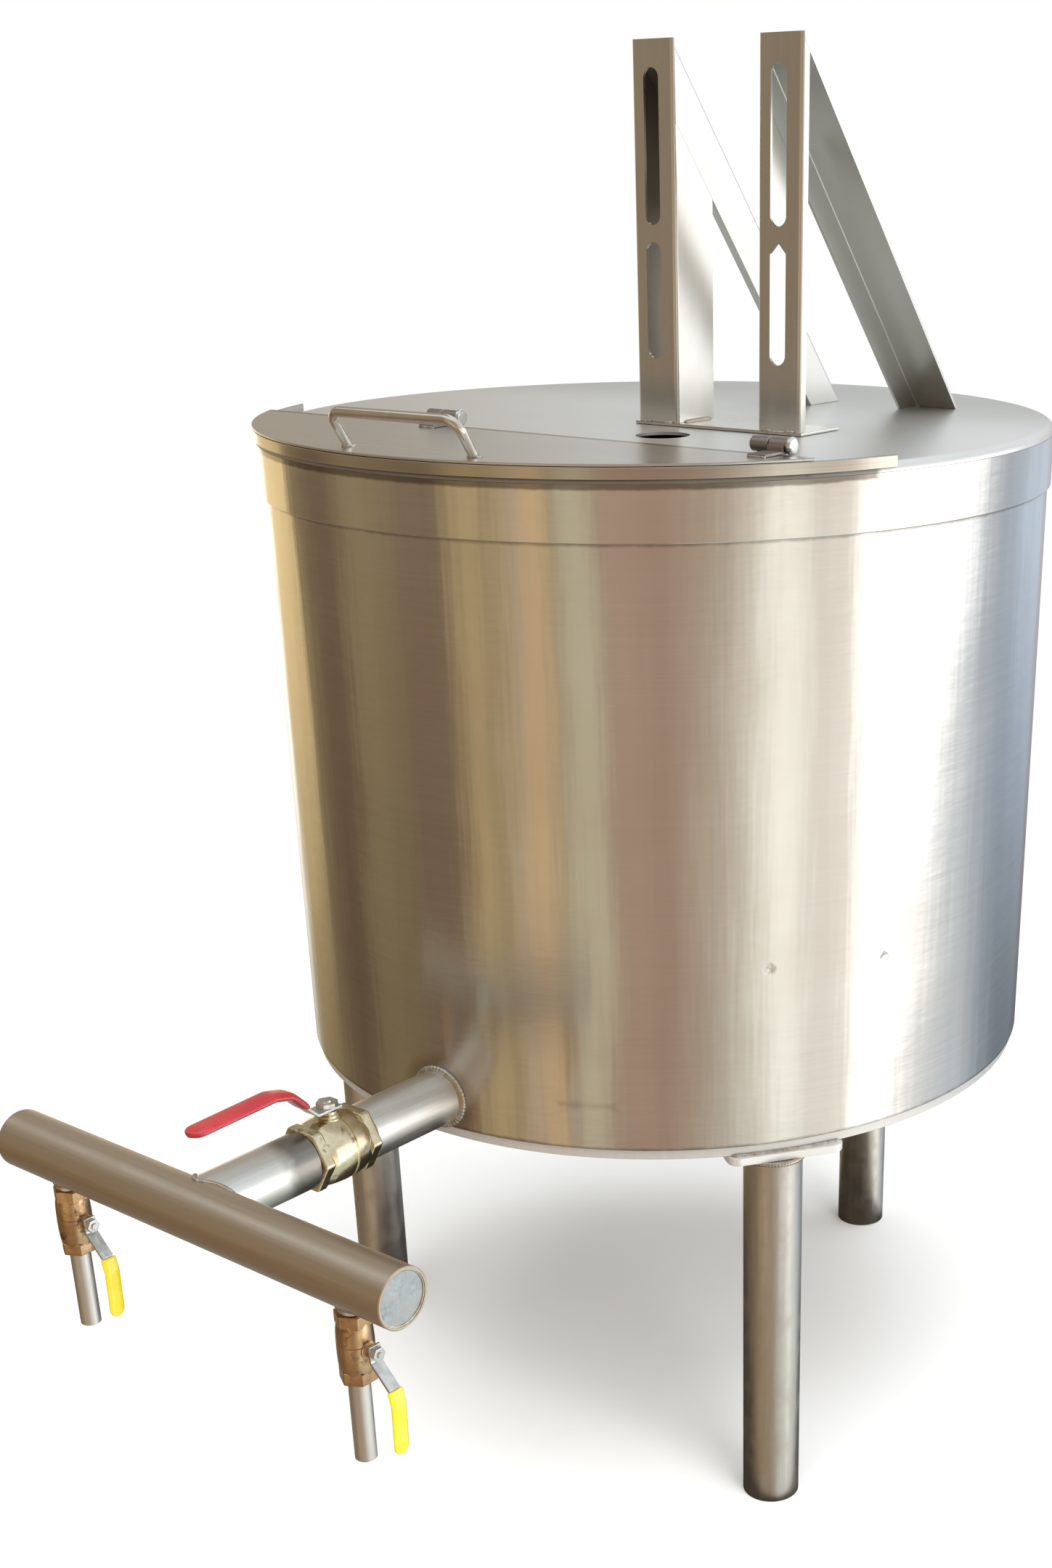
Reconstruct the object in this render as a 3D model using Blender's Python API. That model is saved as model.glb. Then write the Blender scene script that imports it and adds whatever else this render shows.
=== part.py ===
"""A round mixing tank on three tube legs, with a hinged hatch, two brackets that would
carry a stirring motor, and a ball valve that feeds a cross pipe with two small taps.

Metres, +Z up. The origin is on the ground under the middle of the part's own box.
X runs along the cross pipe, and -Y is the side of the hatch and the taps.
"""

from math import atan2, cos, pi, radians, sin, sqrt, tan

import bmesh
import bpy
from mathutils import Matrix, Vector

# Where the tank's own middle stands from the origin
TANK_MIDDLE_Y = 0.178075

# Clearance between pieces that touch, and how finely round shapes are cut
GAP = 0.0003
ROUND_STEPS = 96
PIPE_STEPS = 28

# Tank shell
SHEET = 0.003
TANK_RADIUS = 0.4225
LID_TOP = 1.125
WALL_BOTTOM = 0.450
BAND_RADIUS = 0.426
BAND_BOTTOM = 1.0635
LID_EDGE_RADIUS = 0.0085
FLOOR_TOP = 0.4555
FLOOR_RADIUS = TANK_RADIUS - SHEET - GAP
FLOOR_EDGE_BOTTOM = 0.439
FLOOR_EDGE_RADIUS = 0.0035

# Hatch opening in the lid, and the shaft hole beside it
OPENING_RADIUS = 0.401
OPENING_BACK_Y = -0.228
STIFFENER_DEPTH = 0.025
SHAFT_HOLE = (0.094, -0.104)
SHAFT_HOLE_RADIUS = 0.028
LIP_THICKNESS = 0.0025
LIP_BELOW_LID = 0.0045
LIP_ABOVE_LID = 0.0065
LIP_HALF_ANGLE = 70.5

# Hatch plate, its handle and its two hinges
HATCH_BACK_Y = -0.2215
HATCH_THICKNESS = 0.0025
HANDLE_ANGLE = -86.6
HANDLE_HALF_WIDTH = 0.0785
HANDLE_FOOT_RADIUS = 0.402
HANDLE_OUTWARD = 0.0231
HANDLE_UPWARD = 0.0342
HANDLE_BEND = 0.014
HANDLE_ROD = 0.005
HINGE_Y = -0.212
HINGE_ABOVE_LID = 0.0162
HINGE_STARTS = {"left": -0.130, "right": 0.289}
KNUCKLE_RADIUS = 0.0068
KNUCKLE_BORE = 0.004
KNUCKLE_LENGTH = 0.0205
KNUCKLE_SPACING = 0.001
PIN_RADIUS = 0.0036
PIN_HEAD_RADIUS = 0.0085
PIN_HEAD_LENGTH = 0.005
LEAF_LENGTH = 0.024

# Motor brackets: a slotted post with a deep web on its inner side, and a sloping brace
POST_FRONT_Y = -0.040
POST_WIDTH = 0.053
POST_TOP = 1.485
POST_WEB_DEPTH = 0.062
BRACE_FOOT_Y = 0.262
BRACKETS = {
    "left": {"x": 0.0095, "web_side": 1, "lip_depth": 0.042, "brace_depth": 0.045},
    "right": {"x": 0.1665, "web_side": -1, "lip_depth": 0.010, "brace_depth": 0.030},
}
SLOT_WIDTH = 0.019
SLOT_FROM_MIDDLE = -0.002
SLOT_HEIGHTS = ((1.191, 1.302), (1.318, 1.460))
BASE_THICKNESS = 0.003
BASE_MARGIN = 0.003
BASE_DEPTH = 0.067

# Legs and the plates that carry the tank on them
LEG_ANGLES = {"front": -34.6, "back": 85.4, "left": 205.4}
LEG_CIRCLE = 0.398
LEG_RADIUS = 0.03175
FOOT_THICKNESS = 0.005
PAD_WIDTH = 0.128
PAD_DEPTH = 0.100
PAD_CORNER = 0.012
PAD_THICKNESS = 0.009
PAD_OUTER_EDGE = 0.425
PAD_SIDEWAYS = 0.008

# Outlet line: stub, main valve, feed pipe and cross pipe
OUTLET_X = 0.030
OUTLET_Z = 0.483
PIPE_RADIUS = 0.03015
PIPE_WALL = 0.003
MAIN_VALVE_Y = -0.577
CROSS_Y = -0.752
CROSS_ENDS = (-0.241, 0.3104)
CAP_THICKNESS = 0.004
CAP_RECESS = 0.002

# Small taps under the cross pipe
TAP_X = {"left": -0.171, "right": 0.242}
TAP_VALVE_Z = 0.412
SPOUT_BOTTOM = 0.290
SPOUT_RADIUS = 0.01065
SPOUT_WALL = 0.0026
NIPPLE_RADIUS = 0.0135

# Ball valves, measured along the flow and along the stem
MAIN_VALVE = {
    "length": 0.078,
    "belly": 0.0357,
    "waist": 0.0325,
    "hex": 0.0365,
    "hex_length": 0.014,
    "boss": 0.012,
    "boss_top": 0.042,
    "nut": 0.0115,
    "shank_width": 0.019,
    "shank": ((-0.012, 0.0425), (0.020, 0.0425), (0.036, 0.058)),
    "grip_width": 0.026,
    "grip": ((0.0363, 0.0555), (0.052, 0.0715), (0.072, 0.0765), (0.172, 0.0735)),
    "grip_thickness": 0.009,
}
TAP_VALVE = {
    "length": 0.072,
    "belly": 0.0178,
    "waist": 0.0165,
    "hex": 0.0185,
    "hex_length": 0.013,
    "boss": 0.0075,
    "boss_top": 0.0225,
    "nut": 0.0075,
    "shank_width": 0.0135,
    "shank": ((-0.008, 0.023), (0.009, 0.023), (0.032, 0.0455)),
    "grip_width": 0.0175,
    "grip": ((0.0323, 0.044), (0.045, 0.0475), (0.098, 0.0465)),
    "grip_thickness": 0.0065,
}
SHANK_THICKNESS = 0.003
NUT_HEIGHT = 0.006


def clear_scene():
    for old in list(bpy.data.objects):
        bpy.data.objects.remove(old, do_unlink=True)


def finish(name, colour, roughness, metallic=1.0):
    made = bpy.data.materials.new(name)
    made.use_nodes = True
    shader = made.node_tree.nodes["Principled BSDF"]
    shader.inputs["Base Color"].default_value = (*colour, 1.0)
    shader.inputs["Roughness"].default_value = roughness
    shader.inputs["Metallic"].default_value = metallic
    return made


def finished_object(name, shape, material, smooth_below=35):
    """Makes an object from a bmesh, with outward faces and smooth round sides."""
    bmesh.ops.recalc_face_normals(shape, faces=shape.faces)
    mesh = bpy.data.meshes.new(name)
    shape.to_mesh(mesh)
    shape.free()
    if material:
        mesh.materials.append(material)
    mesh.shade_smooth()
    mesh.set_sharp_from_angle(angle=radians(smooth_below))
    made = bpy.data.objects.new(name, mesh)
    bpy.context.scene.collection.objects.link(made)
    return made


def helper(name, shape):
    """A shape that cuts or joins another one and isn't a piece of the tank."""
    made = finished_object(name, shape, None)
    made.hide_render = True
    made.display_type = "WIRE"
    return made


def combine(target, other, operation):
    step = target.modifiers.new(f"{operation.lower()}_{other.name}", "BOOLEAN")
    step.operation = operation
    step.solver = "EXACT"
    step.object = other


def slab(corners, depth):
    """A flat outline, given as points in space, pushed along the depth vector."""
    shape = bmesh.new()
    face = shape.faces.new([shape.verts.new(corner) for corner in corners])
    pushed = bmesh.ops.extrude_face_region(shape, geom=[face])
    moved = [part for part in pushed["geom"] if isinstance(part, bmesh.types.BMVert)]
    bmesh.ops.translate(shape, verts=moved, vec=depth)
    return shape


def box(low, high):
    corners = (
        (low[0], low[1], low[2]),
        (high[0], low[1], low[2]),
        (high[0], high[1], low[2]),
        (low[0], high[1], low[2]),
    )
    return slab(corners, (0, 0, high[2] - low[2]))


def rod(start, end, radius, steps=PIPE_STEPS, end_radius=None):
    """A solid cylinder or cone between two points."""
    start = Vector(start)
    along = Vector(end) - start
    turn = Vector((0, 0, 1)).rotation_difference(along)
    place = Matrix.Translation(start + along / 2) @ turn.to_matrix().to_4x4()
    shape = bmesh.new()
    bmesh.ops.create_cone(
        shape,
        cap_ends=True,
        segments=steps,
        radius1=radius,
        radius2=radius if end_radius is None else end_radius,
        depth=along.length,
        matrix=place,
    )
    return shape


def turned(profile, steps=ROUND_STEPS, closed=True):
    """A profile of (radius, height) points turned about Z. An open one ends on the axis."""
    shape = bmesh.new()
    points = [shape.verts.new((radius, 0, height)) for radius, height in profile]
    edges = [shape.edges.new(pair) for pair in zip(points, points[1:])]
    if closed:
        edges.append(shape.edges.new((points[-1], points[0])))
    bmesh.ops.spin(
        shape,
        geom=points + edges,
        cent=(0, 0, 0),
        axis=(0, 0, 1),
        angle=2 * pi,
        steps=steps,
        use_merge=True,
    )
    bmesh.ops.remove_doubles(shape, verts=shape.verts, dist=1e-6)
    return shape


def tube(start, end, radius, wall, steps=PIPE_STEPS):
    """A pipe open at both ends, between two points."""
    start = Vector(start)
    along = Vector(end) - start
    inner = radius - wall
    shape = turned(((inner, 0), (radius, 0), (radius, along.length), (inner, along.length)), steps)
    turn = Vector((0, 0, 1)).rotation_difference(along)
    bmesh.ops.transform(
        shape,
        matrix=Matrix.Translation(start) @ turn.to_matrix().to_4x4(),
        verts=shape.verts,
    )
    return shape


def arc(middle, radius, start, end, steps):
    """Points of a circular arc, with angles in degrees."""
    angles = [radians(start + (end - start) * i / steps) for i in range(steps + 1)]
    return [(middle[0] + radius * cos(a), middle[1] + radius * sin(a)) for a in angles]


def make_shell(steel):
    wall_top = LID_TOP - LID_EDGE_RADIUS - GAP
    inner = TANK_RADIUS - SHEET
    wall = finished_object(
        "shell_wall",
        turned(
            (
                (inner, WALL_BOTTOM + GAP),
                (TANK_RADIUS, WALL_BOTTOM + GAP),
                (TANK_RADIUS, wall_top),
                (inner, wall_top),
            )
        ),
        steel,
    )
    outlet = rod(
        (OUTLET_X, -inner + 0.03, OUTLET_Z),
        (OUTLET_X, -TANK_RADIUS - 0.03, OUTLET_Z),
        PIPE_RADIUS - PIPE_WALL,
    )
    combine(wall, helper("cut_wall_outlet", outlet), "DIFFERENCE")
    finished_object(
        "top_band",
        turned(
            (
                (TANK_RADIUS + GAP, BAND_BOTTOM),
                (BAND_RADIUS, BAND_BOTTOM),
                (BAND_RADIUS, wall_top),
                (TANK_RADIUS + GAP, wall_top),
            )
        ),
        steel,
    )


def make_floor(steel):
    """The floor plate, with its edge turned down below the wall."""
    corner = (FLOOR_RADIUS - FLOOR_EDGE_RADIUS, FLOOR_TOP - FLOOR_EDGE_RADIUS)
    profile = [(0, FLOOR_TOP)]
    profile += arc(corner, FLOOR_EDGE_RADIUS, 90, 0, 4)
    profile += [(FLOOR_RADIUS, FLOOR_EDGE_BOTTOM)]
    profile += [(FLOOR_RADIUS - SHEET, FLOOR_EDGE_BOTTOM)]
    profile += arc(corner, FLOOR_EDGE_RADIUS - SHEET, 0, 90, 2)
    profile += [(0, FLOOR_TOP - SHEET)]
    finished_object("floor_plate", turned(profile, closed=False), steel)


def make_lid(steel):
    """The lid plate with its rounded edge, the hatch opening and the shaft hole."""
    flat = BAND_RADIUS - LID_EDGE_RADIUS
    middle = (flat, LID_TOP - LID_EDGE_RADIUS)
    profile = [(0, LID_TOP)]
    profile += arc(middle, LID_EDGE_RADIUS, 90, 0, 5)
    profile += arc(middle, LID_EDGE_RADIUS - SHEET, 0, 90, 4)
    profile += [(0, LID_TOP - SHEET)]
    lid = finished_object("lid_plate", turned(profile, closed=False), steel)
    half = sqrt(OPENING_RADIUS**2 - OPENING_BACK_Y**2)
    turn = 180 / pi * atan2(OPENING_BACK_Y, half)
    low = LID_TOP - 0.02
    rim = arc((0, 0), OPENING_RADIUS, turn, -180 - turn, 36)
    opening = slab([(x, y, low) for x, y in rim], (0, 0, 0.04))
    combine(lid, helper("cut_hatch_opening", opening), "DIFFERENCE")
    hole = rod((*SHAFT_HOLE, low), (*SHAFT_HOLE, low + 0.04), SHAFT_HOLE_RADIUS, 40)
    combine(lid, helper("cut_shaft_hole", hole), "DIFFERENCE")
    stiffener_half = half - 0.020
    top = LID_TOP - SHEET - GAP
    finished_object(
        "opening_stiffener",
        box(
            (-stiffener_half, OPENING_BACK_Y, top - STIFFENER_DEPTH),
            (stiffener_half, OPENING_BACK_Y + SHEET, top),
        ),
        steel,
    )


def make_hatch_lip(steel):
    """The strip round the front edge of the lid that the closed hatch rests on."""
    outer = BAND_RADIUS + GAP + LIP_THICKNESS
    first, last = -90 + LIP_HALF_ANGLE, -90 - LIP_HALF_ANGLE
    outline = arc((0, 0), outer, first, last, 48)
    outline += arc((0, 0), BAND_RADIUS + GAP, last, first, 48)
    low = LID_TOP - LIP_BELOW_LID
    strip = slab([(x, y, low) for x, y in outline], (0, 0, LIP_BELOW_LID + LIP_ABOVE_LID))
    finished_object("hatch_lip", strip, steel)


def hatch_top():
    return LID_TOP + LIP_ABOVE_LID + GAP + HATCH_THICKNESS


def make_hatch(steel):
    radius = BAND_RADIUS + GAP + LIP_THICKNESS
    half = sqrt(radius**2 - HATCH_BACK_Y**2)
    turn = 180 / pi * atan2(HATCH_BACK_Y, half)
    low = LID_TOP + LIP_ABOVE_LID + GAP
    outline = arc((0, 0), radius, turn, -180 - turn, 48)
    plate = slab([(x, y, low) for x, y in outline], (0, 0, HATCH_THICKNESS))
    finished_object("hatch_plate", plate, steel)


def handle_path():
    """The middle line of the bent rod: up from one foot, across, and down to the other."""
    facing = radians(HANDLE_ANGLE)
    outward = Vector((cos(facing), sin(facing), 0))
    across = Vector((-sin(facing), cos(facing), 0))
    lean = outward * HANDLE_OUTWARD + Vector((0, 0, HANDLE_UPWARD))
    length = lean.length
    lean.normalize()
    base = outward * sqrt(HANDLE_FOOT_RADIUS**2 - HANDLE_HALF_WIDTH**2)
    base.z = hatch_top() + GAP
    corner = (HANDLE_HALF_WIDTH - HANDLE_BEND, length - HANDLE_BEND)
    right = arc(corner, HANDLE_BEND, 0, 90, 5)
    left = [(-u, v) for u, v in reversed(right)]
    flat = [(HANDLE_HALF_WIDTH, 0.008)] + right + left + [(-HANDLE_HALF_WIDTH, 0.008)]
    path = [base + across * u + lean * v for u, v in flat]
    rise = Vector((0, 0, 0.004))
    feet = [base + across * HANDLE_HALF_WIDTH, base - across * HANDLE_HALF_WIDTH]
    return [feet[0], feet[0] + rise, *path, feet[1] + rise, feet[1]]


def make_handle(steel):
    curve = bpy.data.curves.new("hatch_handle", "CURVE")
    curve.dimensions = "3D"
    curve.bevel_depth = HANDLE_ROD
    curve.bevel_resolution = 3
    curve.use_fill_caps = True
    spline = curve.splines.new("POLY")
    path = handle_path()
    spline.points.add(len(path) - 1)
    for point, place in zip(spline.points, path):
        point.co = (*place, 1.0)
    curve.materials.append(steel)
    made = bpy.data.objects.new("hatch_handle", curve)
    bpy.context.scene.collection.objects.link(made)


def knuckle(name, start, foot, foot_top, steel):
    """One knuckle round the hinge line, joined by a short web to its foot plate."""
    axis_z = LID_TOP + HINGE_ABOVE_LID
    end = start + KNUCKLE_LENGTH
    made = finished_object(
        name, rod((start, HINGE_Y, axis_z), (end, HINGE_Y, axis_z), KNUCKLE_RADIUS, 20), steel
    )
    y_low, y_high, z_low = foot
    plate = box((start, y_low, z_low), (end, y_high, foot_top))
    combine(made, helper(f"join_{name}_foot", plate), "UNION")
    web_side = 1 if y_high > HINGE_Y else -1
    near = HINGE_Y + web_side * 0.003
    far = HINGE_Y + web_side * (KNUCKLE_RADIUS + 0.004)
    web = box((start, min(near, far), z_low), (end, max(near, far), axis_z + 0.001))
    combine(made, helper(f"join_{name}_web", web), "UNION")
    bore = rod(
        (start - 0.01, HINGE_Y, axis_z), (end + 0.01, HINGE_Y, axis_z), KNUCKLE_BORE, 20
    )
    combine(made, helper(f"cut_{name}_bore", bore), "DIFFERENCE")
    return made


def make_hinge(side, start, steel):
    axis_z = LID_TOP + HINGE_ABOVE_LID
    lid_foot = (HINGE_Y + 0.003, HINGE_Y + LEAF_LENGTH, LID_TOP + GAP)
    knuckle(f"hinge_lid_knuckle_{side}", start, lid_foot, LID_TOP + GAP + SHEET, steel)
    moving = start + KNUCKLE_LENGTH + KNUCKLE_SPACING
    top = hatch_top()
    hatch_foot = (HINGE_Y - LEAF_LENGTH - 0.014, HINGE_Y - 0.003, top + GAP)
    knuckle(f"hinge_hatch_knuckle_{side}", moving, hatch_foot, top + GAP + SHEET, steel)
    head = moving + KNUCKLE_LENGTH + KNUCKLE_SPACING / 2
    pin = finished_object(
        f"hinge_pin_{side}",
        rod((start - 0.002, HINGE_Y, axis_z), (head + 0.001, HINGE_Y, axis_z), PIN_RADIUS, 20),
        steel,
    )
    cap = rod(
        (head, HINGE_Y, axis_z),
        (head + PIN_HEAD_LENGTH, HINGE_Y, axis_z),
        PIN_HEAD_RADIUS,
        20,
        PIN_HEAD_RADIUS * 0.7,
    )
    combine(pin, helper(f"join_pin_head_{side}", cap), "UNION")


def brace_slope():
    return (POST_TOP - LID_TOP) / (BRACE_FOOT_Y - POST_FRONT_Y)


def below_brace(y, depth):
    """Height, at y, of the line that lies this deep below the brace's top face."""
    slope = brace_slope()
    return POST_TOP - slope * (y - POST_FRONT_Y) - depth * sqrt(1 + slope**2)


def brace_outline(x, shallow, deep):
    """The brace's side from one depth below its top face to another, at one x."""
    slope = brace_slope()
    front = POST_FRONT_Y + SHEET + GAP
    foot = LID_TOP + GAP
    ends = [
        front + (below_brace(front, depth) - foot) / slope for depth in (shallow, deep)
    ]
    return (
        (x, front, below_brace(front, shallow)),
        (x, ends[0], foot),
        (x, ends[1], foot),
        (x, front, below_brace(front, deep)),
    )


def make_post(side, bracket, steel):
    left = bracket["x"]
    right = left + POST_WIDTH
    foot = LID_TOP + 2 * GAP + BASE_THICKNESS
    back = POST_FRONT_Y + SHEET
    post = finished_object(
        f"motor_post_{side}",
        box((left, POST_FRONT_Y, foot), (right, back, POST_TOP)),
        steel,
    )
    web_x = right - SHEET if bracket["web_side"] > 0 else left
    lip_x = left if bracket["web_side"] > 0 else right - SHEET
    plates = (
        ("web", web_x, POST_WEB_DEPTH, bracket["brace_depth"] + GAP),
        ("lip", lip_x, bracket["lip_depth"], SHEET + GAP),
    )
    for label, x, depth, under_brace in plates:
        rear = POST_FRONT_Y + depth
        inside = back - SHEET / 2
        outline = (
            (x, inside, foot),
            (x, rear, foot),
            (x, rear, below_brace(rear, under_brace)),
            (x, inside, below_brace(inside, under_brace)),
        )
        plate = helper(f"join_post_{label}_{side}", slab(outline, (SHEET, 0, 0)))
        combine(post, plate, "UNION")
    middle = (left + right) / 2 + SLOT_FROM_MIDDLE
    end_radius = SLOT_WIDTH / 2
    for number, (low, high) in enumerate(SLOT_HEIGHTS):
        ends = arc((middle, high - end_radius), end_radius, 0, 180, 8)
        ends += arc((middle, low + end_radius), end_radius, 180, 360, 8)
        front = POST_FRONT_Y - 0.002
        cutter = slab([(x, front, z) for x, z in ends], (0, SHEET + 0.004, 0))
        combine(post, helper(f"cut_slot_{side}_{number}", cutter), "DIFFERENCE")


def make_brace(side, bracket, steel):
    left = bracket["x"]
    brace = finished_object(
        f"motor_brace_{side}",
        slab(brace_outline(left, 0, SHEET), (POST_WIDTH, 0, 0)),
        steel,
    )
    web_x = left + POST_WIDTH - SHEET if bracket["web_side"] > 0 else left
    web = slab(brace_outline(web_x, SHEET / 2, bracket["brace_depth"]), (SHEET, 0, 0))
    combine(brace, helper(f"join_brace_web_{side}", web), "UNION")


def make_motor_brackets(steel):
    low_x = BRACKETS["left"]["x"] - BASE_MARGIN
    high_x = BRACKETS["right"]["x"] + POST_WIDTH + BASE_MARGIN
    front = POST_FRONT_Y - BASE_MARGIN / 2
    base = LID_TOP + GAP
    finished_object(
        "bracket_base_strip",
        box((low_x, front, base), (high_x, front + BASE_DEPTH, base + BASE_THICKNESS)),
        steel,
    )
    for side, bracket in BRACKETS.items():
        make_post(side, bracket, steel)
        make_brace(side, bracket, steel)


def pad_outline(height):
    """A rectangle pointing along X, with its two outer corners cut off."""
    inner = PAD_OUTER_EDGE - PAD_DEPTH
    low = PAD_SIDEWAYS - PAD_WIDTH / 2
    high = PAD_SIDEWAYS + PAD_WIDTH / 2
    corner = PAD_OUTER_EDGE - PAD_CORNER
    flat = (
        (inner, low),
        (corner, low),
        (PAD_OUTER_EDGE, low + PAD_CORNER),
        (PAD_OUTER_EDGE, high - PAD_CORNER),
        (corner, high),
        (inner, high),
    )
    return [(x, y, height) for x, y in flat]


def make_legs(steel):
    """Three tubes with closed feet, each under a plate that is welded to the tank."""
    pad_top = FLOOR_EDGE_BOTTOM - GAP
    leg_top = pad_top - PAD_THICKNESS - GAP
    for side, degrees in LEG_ANGLES.items():
        facing = Matrix.Rotation(radians(degrees), 4, "Z")
        pad = slab(pad_outline(pad_top - PAD_THICKNESS), (0, 0, PAD_THICKNESS))
        bmesh.ops.transform(pad, matrix=facing, verts=pad.verts)
        finished_object(f"leg_pad_{side}", pad, steel)
        inner = LEG_RADIUS - SHEET
        edge = 0.0015
        leg = turned(
            (
                (0, 0),
                (LEG_RADIUS - edge, 0),
                (LEG_RADIUS, edge),
                (LEG_RADIUS, leg_top),
                (inner, leg_top),
                (inner, FOOT_THICKNESS),
                (0, FOOT_THICKNESS),
            ),
            PIPE_STEPS,
            closed=False,
        )
        place = facing @ Matrix.Translation((LEG_CIRCLE, 0, 0))
        bmesh.ops.transform(leg, matrix=place, verts=leg.verts)
        finished_object(f"leg_tube_{side}", leg, steel)


def valve_frame(place, stem, flow):
    """Turns local X to the stem and local Z to the flow, at the middle of the valve."""
    across = Vector(flow).cross(Vector(stem))
    turn = Matrix((stem, across, flow)).transposed().to_4x4()
    return Matrix.Translation(place) @ turn


def make_valve_body(name, sizes, frame, brass):
    half = sizes["length"] / 2
    waist, belly = sizes["waist"], sizes["belly"]
    shoulder = half - sizes["hex_length"]
    bulge = [
        (waist + (belly - waist) * sin(pi * i / 6) ** 0.6, -shoulder + shoulder * i / 3)
        for i in range(7)
    ]
    profile = [(0, -half + 0.002), (waist * 0.9, -half + 0.002)]
    profile += bulge
    profile += [(waist * 0.9, half - 0.002), (0, half - 0.002)]
    core = turned(profile, PIPE_STEPS, closed=False)
    bmesh.ops.transform(core, matrix=frame, verts=core.verts)
    body = finished_object(name, core, brass)
    for end in (-1, 1):
        nut = rod(
            frame @ Vector((0, 0, end * (half - sizes["hex_length"]))),
            frame @ Vector((0, 0, end * half)),
            sizes["hex"],
            6,
        )
        label = "inlet" if end < 0 else "outlet"
        combine(body, helper(f"join_{name}_{label}", nut), "UNION")
    boss = rod(
        frame @ Vector((belly * 0.5, 0, 0)),
        frame @ Vector((sizes["boss_top"], 0, 0)),
        sizes["boss"],
        20,
    )
    combine(body, helper(f"join_{name}_boss", boss), "UNION")
    return body


def strip_outline(path, thickness, y):
    """A bent strip's side: its underside follows the path of (run, rise) points."""
    lower = [(rise, y, run) for run, rise in path]
    upper = [(rise + thickness, y, run) for run, rise in reversed(path)]
    return lower + upper


def make_lever(side, sizes, frame, steel, grip_material):
    width = sizes["shank_width"]
    shape = slab(
        strip_outline(sizes["shank"], SHANK_THICKNESS, -width / 2), (0, width, 0)
    )
    bmesh.ops.transform(shape, matrix=frame, verts=shape.verts)
    shank = finished_object(f"{side}_lever_shank", shape, steel)
    base = sizes["shank"][0][1] + SHANK_THICKNESS - 0.0005
    nut = rod(
        frame @ Vector((base, 0, 0)),
        frame @ Vector((base + NUT_HEIGHT, 0, 0)),
        sizes["nut"],
        6,
    )
    combine(shank, helper(f"join_{side}_lever_nut", nut), "UNION")
    width = sizes["grip_width"]
    shape = slab(
        strip_outline(sizes["grip"], sizes["grip_thickness"], -width / 2), (0, width, 0)
    )
    bmesh.ops.transform(shape, matrix=frame, verts=shape.verts)
    bmesh.ops.recalc_face_normals(shape, faces=shape.faces)
    finished_object(f"{side}_lever_grip", shape, grip_material)


def make_outlet_line(steel):
    """The stub from the tank wall, the feed pipe, and the cross pipe with its caps."""
    half = MAIN_VALVE["length"] / 2 + GAP
    stub = finished_object(
        "outlet_stub",
        tube(
            (OUTLET_X, -TANK_RADIUS + 0.03, OUTLET_Z),
            (OUTLET_X, MAIN_VALVE_Y + half, OUTLET_Z),
            PIPE_RADIUS,
            PIPE_WALL,
        ),
        steel,
    )
    tank = rod((0, 0, 0.3), (0, 0, 0.7), TANK_RADIUS + GAP, ROUND_STEPS)
    combine(stub, helper("cut_stub_saddle", tank), "DIFFERENCE")
    feed = finished_object(
        "feed_pipe",
        tube(
            (OUTLET_X, MAIN_VALVE_Y - half, OUTLET_Z),
            (OUTLET_X, CROSS_Y, OUTLET_Z),
            PIPE_RADIUS,
            PIPE_WALL,
        ),
        steel,
    )
    start, end = CROSS_ENDS
    saddle = rod(
        (start, CROSS_Y, OUTLET_Z), (end, CROSS_Y, OUTLET_Z), PIPE_RADIUS + GAP, PIPE_STEPS
    )
    saddle_helper = helper("cut_cross_saddle", saddle)
    combine(feed, saddle_helper, "DIFFERENCE")
    finished_object(
        "cross_pipe",
        tube((start, CROSS_Y, OUTLET_Z), (end, CROSS_Y, OUTLET_Z), PIPE_RADIUS, PIPE_WALL),
        steel,
    )
    inner = PIPE_RADIUS - PIPE_WALL - 2 * GAP
    for side, x, inward in (("left", start, 1), ("right", end, -1)):
        face = x + inward * CAP_RECESS
        cap = rod(
            (face, CROSS_Y, OUTLET_Z),
            (face + inward * CAP_THICKNESS, CROSS_Y, OUTLET_Z),
            inner,
        )
        finished_object(f"cross_pipe_cap_{side}", cap, steel)
    return saddle_helper


def make_tap(side, x, saddle, steel, brass, yellow):
    half = TAP_VALVE["length"] / 2 + GAP
    nipple = finished_object(
        f"tap_nipple_{side}",
        tube(
            (x, CROSS_Y, TAP_VALVE_Z + half),
            (x, CROSS_Y, OUTLET_Z - PIPE_RADIUS / 2),
            NIPPLE_RADIUS,
            PIPE_WALL,
        ),
        steel,
    )
    combine(nipple, saddle, "DIFFERENCE")
    frame = valve_frame((x, CROSS_Y, TAP_VALVE_Z), (1, 0, 0), (0, 0, -1))
    make_valve_body(f"tap_valve_body_{side}", TAP_VALVE, frame, brass)
    make_lever(f"tap_{side}", TAP_VALVE, frame, steel, yellow)
    finished_object(
        f"tap_spout_{side}",
        tube(
            (x, CROSS_Y, TAP_VALVE_Z - half),
            (x, CROSS_Y, SPOUT_BOTTOM),
            SPOUT_RADIUS,
            SPOUT_WALL,
        ),
        steel,
    )


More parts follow.
